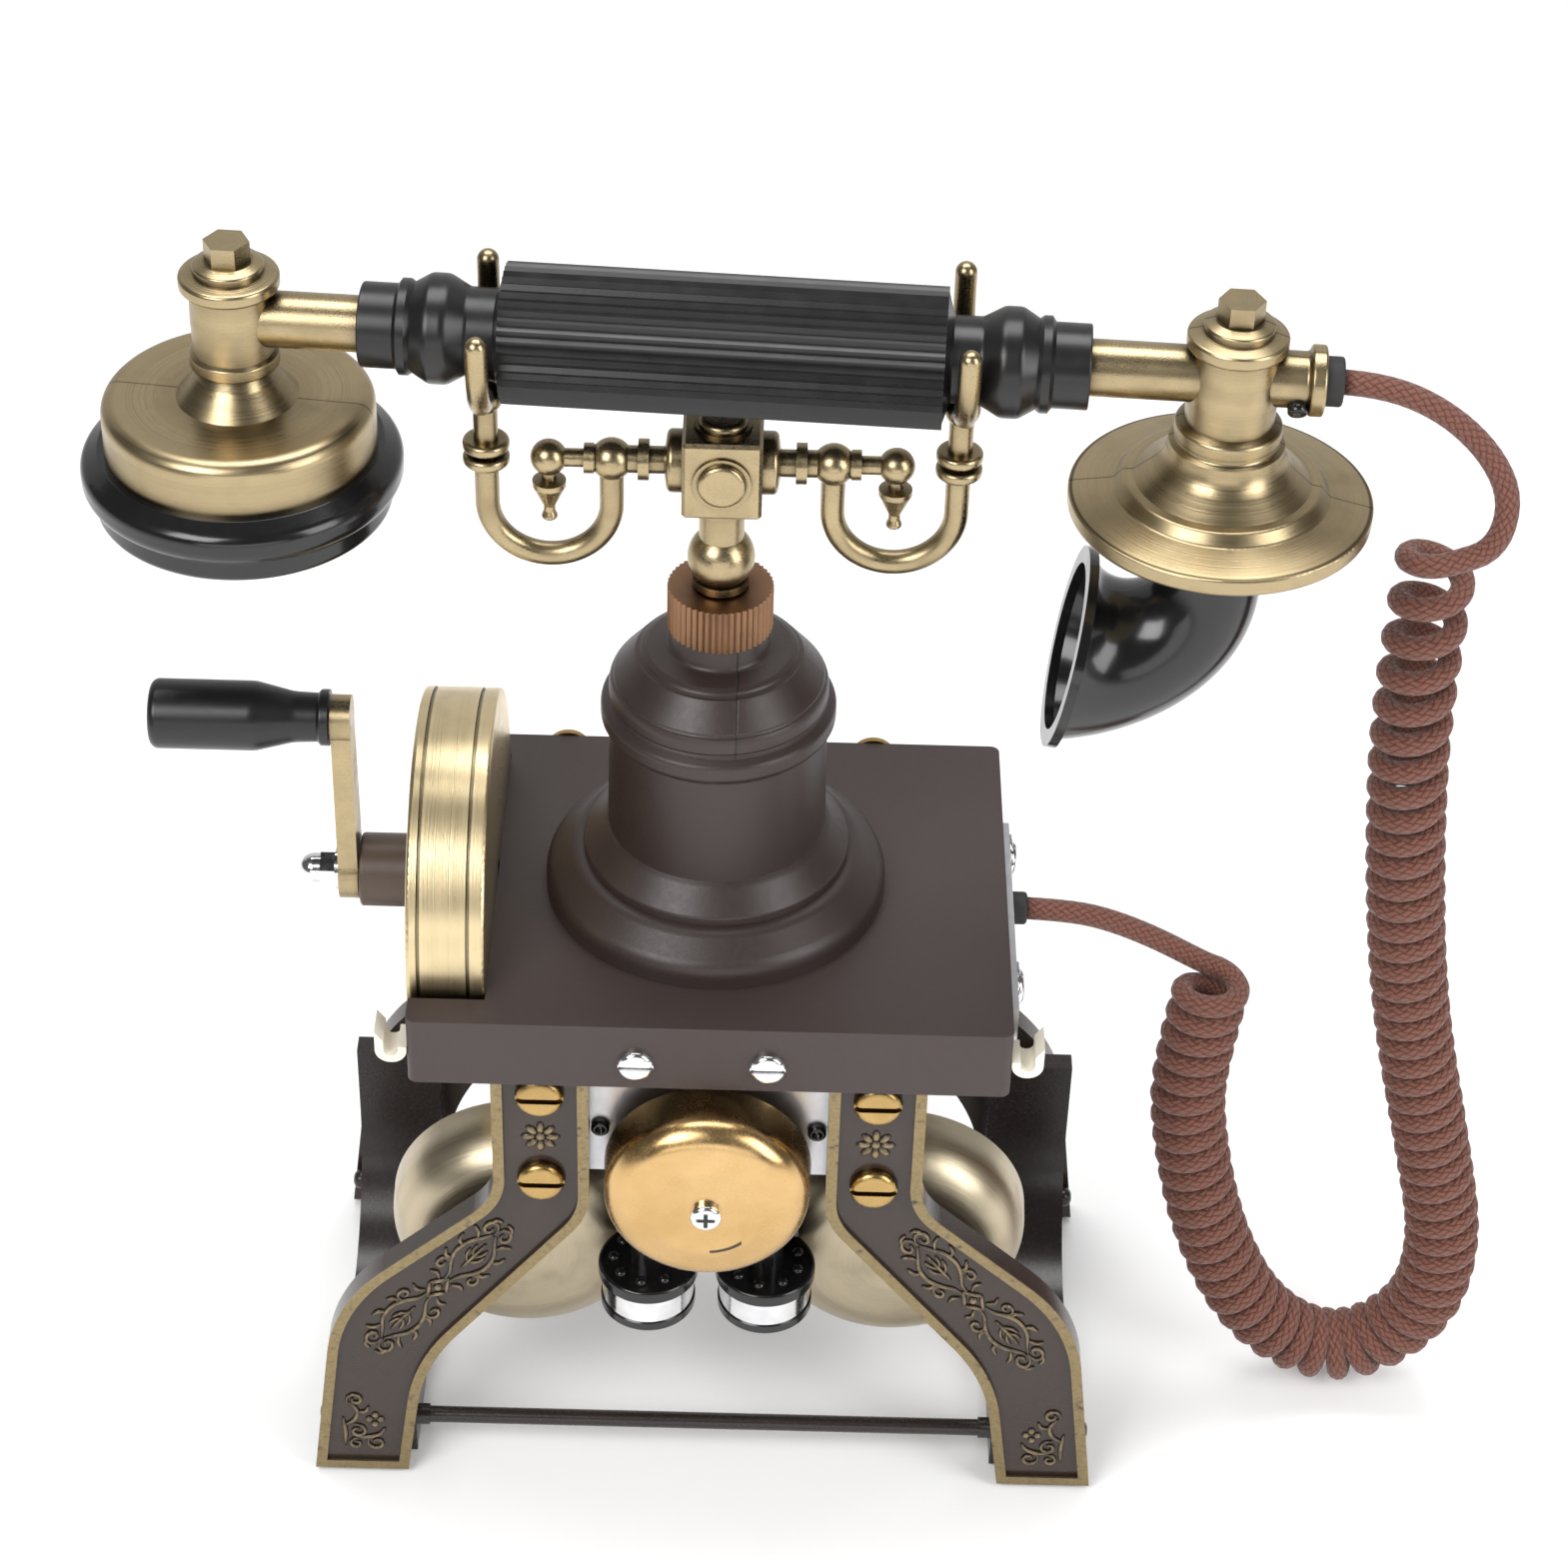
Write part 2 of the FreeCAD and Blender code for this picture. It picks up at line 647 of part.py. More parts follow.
def cradle_arm():
    """Right turned arm with its end ball and hanging finial."""
    half = BLOCK_W / 2
    bar = turned([
        (0, half), (6.4, half), (6.4, half + 3, 1.2), (2.8, half + 3.6), (2.8, 14.6), (4.2, 14.6),
        (4.2, 16.8), (2.8, 16.8), (2.8, 25.6), (3.1, 25.6), (3.1, 27.6), (1.9, 27.6),
        (1.9, ARM_END_X), (0, ARM_END_X),
    ])
    finial = turned([
        (0, 0), (1.5, 0), (1.5, -5), (3.4, -5.4), (3.4, -6.6), (1.2, -11.4), (1.2, -12.6),
        (1.8, -14.2, 0.7), (0, -15.2),
    ])
    bar = along(bar, X_AXIS).fuse([ball(4.3, HOOK_BALL_X, 0, 0), ball(3.7, ARM_END_X, 0, 0)])
    return moved(bar.fuse(moved(finial, ARM_END_X, 0, 0)), 0, 0, ARM_Z)


def cradle_fork():
    """Right hook, from under the arm's ball round and up to the fork."""
    radius = (FORK_X - HOOK_BALL_X) / 2
    middle = (FORK_X + HOOK_BALL_X) / 2
    bend_z = PLATE_TOP + HOOK_LOW_Z
    section = Part.Face(Part.Wire(Part.makeCircle(HOOK_R, V(FORK_X, 0, bend_z), Z_AXIS)))
    hook = section.revolve(V(middle, 0, bend_z), Y_AXIS, 180)
    parts = [rod(HOOK_R, V(FORK_X, 0, bend_z), V(FORK_X, 0, FORK_LOW))]
    parts.append(rod(HOOK_R, V(HOOK_BALL_X, 0, bend_z), V(HOOK_BALL_X, 0, ARM_Z)))
    for z in (ARM_Z - 1.6, ARM_Z + 1.8):
        ring = turned([(0, 0), (4.7, 0, 0.9), (4.7, 2.4, 0.9), (0, 2.4)])
        parts.append(moved(ring, FORK_X, 0, z))
    parts.append(ball(3.6, FORK_X, 0, FORK_LOW - 1.2))
    bow_z = FORK_LOW + FORK_R
    section = Part.Face(Part.Wire(Part.makeCircle(PRONG_R, V(FORK_X, FORK_R, bow_z), Z_AXIS)))
    parts.append(section.revolve(V(FORK_X, 0, bow_z), -X_AXIS, 180))
    tip = PLATE_TOP + PRONG_TOP - PRONG_R
    for y in (-FORK_R, FORK_R):
        parts.append(rod(PRONG_R, V(FORK_X, y, bow_z), V(FORK_X, y, tip)))
        parts.append(ball(PRONG_R, FORK_X, y, tip))
    fork = hook.fuse(parts)
    seat = rod(2.8, V(0, 0, ARM_Z), V(HOOK_BALL_X + 6, 0, ARM_Z))
    return fork.cut(ball(4.3, HOOK_BALL_X, 0, ARM_Z)).cut(seat)


# The handset, made on its own axis and then laid in the forks
def in_forks(shape):
    copy = moved(shape, 0, 0, AXIS_Z)
    copy.rotate(V(0, 0, 0), Z_AXIS, HANDSET_SKEW)
    return copy


def handset_grip():
    bar = along(fluted(GRIP_R, FLUTE_DEPTH, GRIP_FLUTES, 2 * GRIP_HALF), X_AXIS)
    return moved(bar, -GRIP_HALF, 0, 0)


def handset_collar():
    """Right collar between the grip and the tube."""
    shape = turned([
        (0, 0), (12.8, 0), (9.4, 1, 0.7), (NECK_R, 1.4), (NECK_R, 6.9, 1.5), (10.9, 11, 3),
        (10.9, 14.5, 2.5), (8.9, 17.8), (9.5, 18.6), (9.5, 20.2), (8.4, 21),
        (8.4, COLLAR_L, 0.4), (0, COLLAR_L),
    ])
    return moved(along(shape, X_AXIS), GRIP_HALF, 0, 0)


def handset_tubes():
    left = rod(TUBE_R, V(-COLLAR_END, 0, 0), V(EAR_X + POST_R - SOCKET_DEPTH, 0, 0))
    right = rod(TUBE_R, V(COLLAR_END, 0, 0), V(MOUTH_X - POST_R + SOCKET_DEPTH, 0, 0))
    return left, right


def post_socket(shape, x, side):
    """Blind hole for the tube's end, in a post at x."""
    end = V(x + side * (POST_R - SOCKET_DEPTH), 0, 0)
    return shape.cut(rod(TUBE_R + FIT, end, end + V(side * 20, 0, 0)))


def ear_post():
    profile = [
        (0, EAR_DOME_TOP), (12.2, EAR_DOME_TOP), (8.2, -13, 3), (6.9, -10.6),
        (8.9, -10.2, 0.5), (8.9, -7.6, 0.5),
        (8, -7), (POST_R, 0, 30), (8, 6.8), (9.9, 7.2, 0.8), (9.9, 9.8, 0.8), (7, 10.4), (7, 12, 0.6),
        (5, POST_TOP), (0, POST_TOP),
    ]
    return post_socket(moved(turned(profile), EAR_X, 0, 0), EAR_X, 1)


def ear_dome():
    profile = [
        (0, EAR_DOME_TOP), (EAR_DOME_R, EAR_DOME_TOP, 3),
        (EAR_DOME_R, EAR_DOME_LOW), (0, EAR_DOME_LOW),
    ]
    return moved(turned(profile), EAR_X, 0, 0)


def ear_cap():
    top = EAR_DOME_LOW
    profile = [
        (0, top), (EAR_DOME_R + 1.4, top, 0.6), (EAR_R, top - 2.6, 3),
        (EAR_R, top - 7.4, 3), (EAR_R - 2.6, top - 9, 0.8),
        (EAR_R - 2.4, EAR_LOW + 1.2, 1.4), (EAR_R - 6, EAR_LOW, 1.2), (8, EAR_LOW + 4.2),
        (0, EAR_LOW + 4.2),
    ]
    return moved(turned(profile), EAR_X, 0, 0)


def mouth_post():
    profile = [
        (0, MOUTH_TOP), (10.6, MOUTH_TOP), (10.6, -10.4, 0.9), (8.8, -9.6), (9, -3, 30),
        (8.4, 6.4), (9.9, 7, 0.8),
        (9.9, 9.6, 0.8), (7, 10.4), (7, 12, 0.6), (5, POST_TOP), (0, POST_TOP),
    ]
    stub = turned([
        (0, 0), (TUBE_R, 0), (TUBE_R, STUB_OUT - 3.4, 0.8), (7, STUB_OUT - 2.8, 0.6),
        (7, STUB_OUT, 0.6), (0, STUB_OUT),
    ])
    post = moved(turned(profile).fuse(along(stub, X_AXIS)), MOUTH_X, 0, 0)
    return post_socket(post, MOUTH_X, -1)


def mouth_disc():
    profile = [
        (0, MOUTH_TOP), (10.2, MOUTH_TOP), (10.2, -14.2, 0.7), (11.4, -14.8),
        (12, -18.5, 6), (17.6, -23.4), (19.6, -23.6, 0.9),
        (21.4, -25.8, 1), (28.4, -27.2), (MOUTH_R, -27.6, 0.4), (MOUTH_R, MOUTH_LOW + 0.8, 1.2),
        (27.5, MOUTH_LOW), (0, MOUTH_LOW),
    ]
    return moved(turned(profile), MOUTH_X, 0, 0)


def horn_ring(turn, radius):
    """Circle across the horn's bent axis, after a turn in degrees."""
    a = math.radians(turn)
    bend = V(MOUTH_X - HORN_BEND_R, 0, MOUTH_LOW - HORN_DROP)
    centre = bend + V(math.cos(a), 0, -math.sin(a)) * HORN_BEND_R
    return Part.Wire(Part.makeCircle(radius, centre, V(-math.sin(a), 0, -math.cos(a))))


def horn_body(shrink, drop):
    """Flared elbow; shrink takes the wall off and drop starts it lower."""
    steps = len(HORN_RADII) - 1
    first = Part.Wire(Part.makeCircle(HORN_RADII[0] - shrink, V(MOUTH_X, 0, MOUTH_LOW - drop), -Z_AXIS))
    rings = [first]
    for i, radius in enumerate(HORN_RADII):
        rings.append(horn_ring(HORN_TURN * i / steps, radius - shrink))
    return Part.makeLoft(rings, True, False)


def mouth_horn():
    a = math.radians(HORN_TURN)
    out = V(-math.sin(a), 0, -math.cos(a))
    lip = Part.Face(horn_ring(HORN_TURN, HORN_LIP_R)).extrude(out * HORN_LIP_T)
    mouth = Part.Face(horn_ring(HORN_TURN, HORN_RADII[-1] - HORN_WALL)).extrude(out * HORN_LIP_T)
    flange = rod(HORN_RADII[0] + 3, V(MOUTH_X, 0, MOUTH_LOW), V(MOUTH_X, 0, MOUTH_LOW - 2))
    body = horn_body(0, 0).fuse([lip, flange])
    return body.cut(horn_body(HORN_WALL, HORN_WALL + 1)).cut(mouth)


def post_nuts():
    nut = hexagon(HEX_R, HEX_H)
    return [moved(nut, x, 0, POST_TOP) for x in (EAR_X, MOUTH_X)]


def handset_gland():
    shape = turned([(0, 0), (GLAND_R, 0), (GLAND_R, GLAND_T, 0.6), (0, GLAND_T)])
    return moved(along(shape, X_AXIS), MOUTH_X + STUB_OUT, 0, 0)


# The curly cord
HANDSET_EXIT = in_forks(Part.Vertex(V(MOUTH_X + STUB_OUT + GLAND_T, 0, 0))).Point
HANDSET_OUT = V(math.cos(math.radians(HANDSET_SKEW)), math.sin(math.radians(HANDSET_SKEW)), 0)
BASE_EXIT = V(HALF_W + BRACKET_T + BASE_GLAND_T, CORD_EXIT_Y, PLATE_TOP - CORD_EXIT_DROP)

# Middle of the curls, from the handset's side round the floor to the base
CURL_ROUTE = [
    V(143.5, -6, 238), V(142.5, -6, 204), V(146, -6, 162), V(152.5, -6.5, 117), V(163.5, -7.5, 74),
    V(170, -9, 36), V(151, -9, 13), V(127, -8.5, 28), V(112, -7, 58), V(106, -4, 90), V(107, -2, 110),
]


def curl_points(per_turn):
    """Points and directions of the helix wound round the curls' middle line."""
    middle = Part.BSplineCurve()
    middle.interpolate(CURL_ROUTE)
    steps = CURLS * per_turn
    places = middle.discretize(steps + 1)
    side = V(1, 0, 0)
    winding = []
    for i, place in enumerate(places):
        ahead = places[min(i + 1, steps)] - places[max(i - 1, 0)]
        ahead.normalize()
        side = (side - ahead * side.dot(ahead)).normalize()
        other = ahead.cross(side)
        a = 2 * math.pi * i / per_turn
        winding.append(place + side * (CURL_R * math.cos(a)) + other * (CURL_R * math.sin(a)))
    return winding


def cord_stations():
    """(point, direction) pairs along the cord: lead, half turns of the curls, lead."""
    per_turn = 24
    winding = curl_points(per_turn)
    stations = [(HANDSET_EXIT + HANDSET_OUT * CORD_D, HANDSET_OUT), (V(143, -6.6, 262), V(0.6, 0, -0.8))]
    for i in range(per_turn // 2, len(winding) - per_turn // 4, per_turn // 2):
        stations.append((winding[i], (winding[i + 1] - winding[i - 1]).normalize()))
    stations.append((BASE_EXIT + V(3 * CORD_D, 0, 0), V(-1, 0, 0)))
    return stations


def arc_from(start, direction, end):
    """Arc, or line, from start in a direction to end."""
    chord = end - start
    length = chord.Length
    along_chord = chord * (1 / length)
    lean = direction.getAngle(chord)
    if lean < 1e-4:
        return Part.LineSegment(start, end).toShape()
    bulge = (direction - along_chord * direction.dot(along_chord)).normalize()
    middle = (start + end) * 0.5 + bulge * (length / 2 * math.tan(lean / 2))
    return Part.Arc(start, middle, end).toShape()


def biarc(first, second):
    """Two arcs that leave first and reach second in their directions."""
    (p, t), (q, u) = first, second
    span = q - p
    turn = 2 * (1 - t.dot(u))
    lean = span.dot(t + u)
    if turn < 1e-6:
        reach = span.dot(span) / (2 * lean)
    else:
        reach = (math.sqrt(lean * lean + turn * span.dot(span)) - lean) / turn
    joint = (p + q + (t - u) * reach) * 0.5
    back = arc_from(q, u * -1, joint)
    return [arc_from(p, t, joint), Part.Edge(back.Curve.copy(), *back.ParameterRange)]


def cord_gap(edges):
    """Least gap of the cord to itself, measured on points along it."""
    points = []
    for edge in edges:
        points += edge.discretize(7)[:-1]
    apart = 16
    nearest = min((points[i] - points[j]).Length
                  for i in range(len(points)) for j in range(i + apart, min(i + 6 * apart, len(points))))
    return nearest - CORD_D


def cord():
    stations = cord_stations()
    edges = [Part.LineSegment(HANDSET_EXIT, stations[0][0]).toShape()]
    for first, second in zip(stations, stations[1:]):
        edges += biarc(first, second)
    edges.append(Part.LineSegment(stations[-1][0], BASE_EXIT).toShape())
    path = Part.Wire(Part.sortEdges(edges)[0])
    section = Part.Wire(Part.makeCircle(CORD_D / 2, HANDSET_EXIT, HANDSET_OUT))
    shell = Part.BRepOffsetAPI.MakePipeShell(path)
    shell.add(section, False, False)
    shell.build()
    shell.makeSolid()
    solid = Part.Solid(shell.shape()) if shell.shape().ShapeType == "Shell" else shell.shape()
    ideal = math.pi * CORD_D ** 2 / 4 * path.Length
    tightest = min(e.Curve.Radius for e in edges if hasattr(e.Curve, "Radius"))
    print("cord length %.0f mm, tightest radius %.1f mm" % (path.Length, tightest))
    print("cord volume %.0f of %.0f mm3" % (solid.Volume, ideal))
    print("least gap of the cord to itself %.2f mm" % cord_gap(edges))
    return solid


if __name__ == "__main__":
    os.makedirs("parts", exist_ok=True)
    right_leg = leg()
    save("top_plate", top_plate())
    save("pedestal", pedestal())
    save("knurled_nut", knurled_nut())
    save("front_leg_right", right_leg)
    save("front_leg_left", mirror_x(right_leg))
    save("rear_leg_right", mirror_y(right_leg))
    save("rear_leg_left", mirror_x(mirror_y(right_leg)))
    save("leg_screws", *leg_screws())
    save("side_sill_right", side_sill())
    save("side_sill_left", mirror_x(side_sill()))
    save("stretcher_rods", stretcher(-ROD_Y), stretcher(ROD_Y))
    save("stretcher_nuts", *stretcher_nuts())
    save("foot_pads", *foot_pads())
    save("cross_plate_front", cross_plate())
    save("cross_plate_rear", mirror_y(cross_plate()))
    save("ringer_base", ringer_base())
    save("coil_bobbins", coil_bobbin(-COIL_X), coil_bobbin(COIL_X))
    save("coil_bands", coil_band(-COIL_X), coil_band(COIL_X))
    save("gong_left", gong(-GONG_X))
    save("gong_right", gong(GONG_X))
    save("front_gong", front_gong())
    save("gong_screws", *gong_screws())
    save("front_gong_post", front_gong_post())
    save("gong_bracket", gong_bracket())
    save("clapper_pin", clapper_pin())
    save("clapper", clapper())
    save("side_lugs", side_lug(), mirror_x(side_lug()))
    save("cord_bracket", cord_bracket())
    save("chrome_screws", *chrome_screws())
    save("rear_lip_screws", *rear_lip_screws())
    save("base_gland", base_gland())
    save("wheel_drum", wheel_drum())
    save("crank_boss", crank_boss())
    save("crank_shaft", crank_shaft())
    save("crank_arm", crank_arm())
    save("crank_nut", crank_nut())
    save("grip_pin", grip_pin())
    save("crank_grip", crank_grip())
    save("cradle_stem", cradle_stem())
    save("hook_spring", hook_spring())
    save("cradle_block", cradle_block())
    save("cradle_arm_right", cradle_arm())
    save("cradle_arm_left", mirror_x(cradle_arm()))
    save("cradle_fork_right", cradle_fork())
    save("cradle_fork_left", mirror_x(cradle_fork()))
    save("handset_grip", in_forks(handset_grip()))
    save("handset_collar_right", in_forks(handset_collar()))
    save("handset_collar_left", in_forks(mirror_x(handset_collar())))
    save("handset_tubes", *[in_forks(tube) for tube in handset_tubes()])
    save("ear_post", in_forks(ear_post()))
    save("ear_dome", in_forks(ear_dome()))
    save("ear_cap", in_forks(ear_cap()))
    save("mouth_post", in_forks(mouth_post()))
    save("mouth_disc", in_forks(mouth_disc()))
    save("mouth_horn", in_forks(mouth_horn()))
    save("post_nuts", *[in_forks(nut) for nut in post_nuts()])
    save("handset_gland", in_forks(handset_gland()))
    save("cord", cord())
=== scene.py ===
import math

import bmesh
import bpy
from mathutils import Matrix, Vector


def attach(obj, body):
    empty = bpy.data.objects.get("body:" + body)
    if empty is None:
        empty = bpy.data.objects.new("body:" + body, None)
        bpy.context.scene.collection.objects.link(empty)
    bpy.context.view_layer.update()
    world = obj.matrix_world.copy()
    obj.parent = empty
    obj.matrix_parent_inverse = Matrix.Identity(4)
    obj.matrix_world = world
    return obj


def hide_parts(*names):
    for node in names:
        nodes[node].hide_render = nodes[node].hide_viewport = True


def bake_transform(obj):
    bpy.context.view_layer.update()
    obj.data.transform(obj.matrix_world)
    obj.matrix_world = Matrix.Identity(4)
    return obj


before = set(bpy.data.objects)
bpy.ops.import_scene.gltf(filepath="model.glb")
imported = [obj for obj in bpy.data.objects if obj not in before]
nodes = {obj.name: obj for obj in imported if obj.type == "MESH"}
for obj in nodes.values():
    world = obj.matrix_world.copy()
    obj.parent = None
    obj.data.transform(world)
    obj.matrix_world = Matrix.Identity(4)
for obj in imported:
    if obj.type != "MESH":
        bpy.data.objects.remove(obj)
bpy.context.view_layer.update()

MM = 0.001
SHIFT_Y = 5.2            # the row frame lies this far from the plate's middle, in mm
PLATE_TOP = 142.0
HANDSET_Z = 276.7
HANDSET_SKEW = -3.5
EAR_X = -96.7
MOUTH_X = 98.8
LEG_FIELD = 40.3         # recessed face of the front legs; the rear one lies as far behind the middle
LEG_FIELD_REAR = LEG_FIELD + 2 * SHIFT_Y
SCROLL_RISE = 0.75
GONG_X = 42.0            # the two large gongs, either side of the middle
GONG_Z = 54.0
FRONT_GONG_Z = 99.5
BOBBIN_X = 13.0
BOBBIN_Y = -36.5
BOBBIN_TOP = 62.0
STUD_RING = 7.6
STUDS = 9
PEDESTAL_RINGS = (44.6, 51.2, 55.4, 61.6)    # heights above the plate
DOME_FOOT = 50.0
SEAM_X = 4.0
BRACKET_FACE_X = 64.52
BRACKET_SCREWS_Y = (19.0, -24.0)
CROSS_PLATE_FACE = -40.52
PLATE_SCREW_X = 23.2
PLATE_SCREW_Z = 106.0


def place(x, y, z):
    """A point of the plate's frame, in mm, as a point of the row frame in metres."""
    return Vector((x, y + SHIFT_Y, z)) * MM


def on_handset(x, y, z):
    """A point given along the handset's own axis."""
    a = math.radians(HANDSET_SKEW)
    return place(x * math.cos(a) - y * math.sin(a), x * math.sin(a) + y * math.cos(a), HANDSET_Z + z)


# Materials
class Sock:
    """A shader value that can be used in Python sums."""

    def __init__(self, look, socket):
        self.look = look
        self.socket = socket

    def math(self, operation, first, second):
        return self.look.add("ShaderNodeMath", {"operation": operation}, {0: first, 1: second})

    def __add__(self, other):
        return self.math("ADD", self, other)

    def __radd__(self, other):
        return self.math("ADD", other, self)

    def __sub__(self, other):
        return self.math("SUBTRACT", self, other)

    def __rsub__(self, other):
        return self.math("SUBTRACT", other, self)

    def __mul__(self, other):
        return self.math("MULTIPLY", self, other)

    def __rmul__(self, other):
        return self.math("MULTIPLY", other, self)

    def __pow__(self, other):
        return self.math("POWER", self, other)

    def __abs__(self):
        return self.math("ABSOLUTE", self, 0.0)

    def sine(self):
        return self.math("SINE", self, 0.0)

    def span(self, low, high):
        """0 at low, 1 at high, held to that range."""
        ends = {"Value": self, "From Min": low, "From Max": high}
        return self.look.add("ShaderNodeMapRange", {}, ends)

    def below(self, limit, soft):
        """1 below the limit, 0 above it, over a soft width."""
        return self.span(limit + soft, limit - soft)


class Nodes:
    """Adds nodes to a tree."""

    def __init__(self, tree):
        self.tree = tree

    def add(self, kind, settings, sockets, output=0):
        """A node of a kind, with its settings and the values or links of its sockets."""
        node = self.tree.nodes.new(kind)
        for key, value in settings.items():
            setattr(node, key, value)
        for key, value in sockets.items():
            self.feed(node.inputs[key], value)
        return Sock(self, node.outputs[output])

    def feed(self, socket, value):
        if isinstance(value, Sock):
            self.tree.links.new(value.socket, socket)
        elif isinstance(value, tuple) and socket.type == "RGBA":
            socket.default_value = (*value, 1.0)
        else:
            socket.default_value = value


class Look(Nodes):
    """A node material being built; its lengths are in mm."""

    def __init__(self, name):
        self.material = bpy.data.materials.new(name)
        self.material.use_nodes = True
        super().__init__(self.material.node_tree)
        self.shader = self.tree.nodes["Principled BSDF"]
        self.coords = self.tree.nodes.new("ShaderNodeTexCoord")
        self.x, self.y, self.z = [axis * 1000.0 for axis in self.split("Object", 3)]
        self.relief = None

    def split(self, kind, count):
        """The parts of the object's own place, or of its UV."""
        link = Sock(self, self.coords.outputs[kind])
        first = self.add("ShaderNodeSeparateXYZ", {}, {0: link})
        outputs = first.socket.node.outputs
        return [Sock(self, outputs[i]) for i in range(count)]

    def noise(self, size, detail, at=None):
        """Noise from 0 to 1 whose blotches are about size mm across."""
        x, y, z = at or (self.x, self.y, self.z)
        spot = self.add("ShaderNodeCombineXYZ", {}, {0: x, 1: y, 2: z})
        sockets = {"Vector": spot, "Scale": 1.0 / size, "Detail": detail}
        return self.add("ShaderNodeTexNoise", {}, sockets)

    def radius(self, a, b, middle):
        """Distance from an axis through middle, across two coordinates."""
        first = a - middle[0]
        second = b - middle[1]
        return (first * first + second * second) ** 0.5

    def patina_and_shade_mask(self, reach):
        """1 in grooves, corners and under other parts, 0 on open faces: patina in the grooves, painted
        shade under and between parts.
        """
        open_sky = self.add("ShaderNodeAmbientOcclusion", {"samples": 6}, {"Distance": reach * MM}, "AO")
        return open_sky.span(0.95, 0.35)

    def mix(self, factor, low, high):
        return self.add("ShaderNodeMix", {"data_type": "RGBA"}, {0: factor, 6: low, 7: high}, 2)

    def put(self, **values):
        for name, value in values.items():
            self.feed(self.shader.inputs[name.replace("_", " ")], value)

    def bump(self, height, depth):
        """Raises the surface by height, from 0 to 1, times depth in mm."""
        sockets = {"Height": height, "Distance": depth * MM}
        if self.relief:
            sockets["Normal"] = self.relief
        self.relief = self.add("ShaderNodeBump", {}, sockets)
        self.put(Normal=self.relief)


def dimmed(colour, share):
    """A darker or lighter tone of a colour."""
    return tuple(c * share for c in colour)


def sprayed(name):
    """A sprayed surface with a fine orange peel, still without its colour."""
    look = Look(name)
    look.bump(look.noise(0.5, 2), 0.02)
    return look


def spray_haze(look, rough):
    """The roughness of sprayed lacquer, which varies a little."""
    return look.noise(1.2, 2).span(0.2, 0.9) * 0.10 + rough


def lacquer(name, light, dark, rough):
    """Plain sprayed lacquer with a faint mottle."""
    look = sprayed(name)
    look.put(Base_Color=look.mix(look.noise(18, 4), dark, light), Roughness=spray_haze(look, rough))
    return look.material


def pedestal_look():
    """Brown lacquer with the mould's seam over the dome, and fine rings round it."""
    look = sprayed("pedestal_lacquer")
    dome = look.z.span(PLATE_TOP + DOME_FOOT, PLATE_TOP + DOME_FOOT + 0.4)
    seam = abs(look.x - SEAM_X).below(0.22, 0.1) * dome
    tone = look.mix(look.noise(18, 4), dimmed(BROWN, 0.62), dimmed(BROWN, 0.85))
    look.put(Base_Color=look.mix(seam * 0.8, tone, dimmed(BROWN, 0.2)))
    look.put(Roughness=spray_haze(look, 0.36))
    look.bump(1 - seam, 0.12)
    rings = 0.0
    for height in PEDESTAL_RINGS:
        rings = abs(look.z - (PLATE_TOP + height)).below(0.30, 0.14) + rings
    look.bump(1 - rings, 0.30)
    return look.material


def leg_look():
    """Dark lacquer, rubbed down to the brass on the raised rim."""
    look = sprayed("leg_lacquer")
    front = look.y.span(-LEG_FIELD - 0.55, -LEG_FIELD - 0.9)
    rear = look.y.span(LEG_FIELD_REAR + 0.55, LEG_FIELD_REAR + 0.9)
    worn = (front + rear) * look.noise(2.2, 4).span(0.22, 0.42)
    metal = look.mix(look.noise(0.8, 4).span(0.3, 0.7), (0.235, 0.18, 0.095), (0.31, 0.24, 0.13))
    tone = look.mix(look.noise(14, 4), dimmed(LEG_BROWN, 0.6), LEG_BROWN)
    look.put(Base_Color=look.mix(worn, tone, metal), Metallic=worn * 0.95, Roughness=worn * 0.14 + 0.22)
    return look.material


def scroll_look():
    """The scrolls: dark in the ground, rubbed a little on their ridges."""
    look = Look("scroll_lacquer")
    front = look.y.span(-LEG_FIELD - SCROLL_RISE * 0.45, -LEG_FIELD - SCROLL_RISE)
    rear = look.y.span(LEG_FIELD_REAR + SCROLL_RISE * 0.45, LEG_FIELD_REAR + SCROLL_RISE)
    ridge = (front + rear) * look.noise(1.5, 3).span(0.2, 0.6)
    look.put(Base_Color=look.mix(ridge, dimmed(LEG_BROWN, 0.55), (0.29, 0.22, 0.12)))
    look.put(Metallic=ridge * 0.85, Roughness=look.noise(0.8, 2) * 0.15 + 0.22)
    look.bump(look.noise(0.4, 2), 0.04)
    return look.material


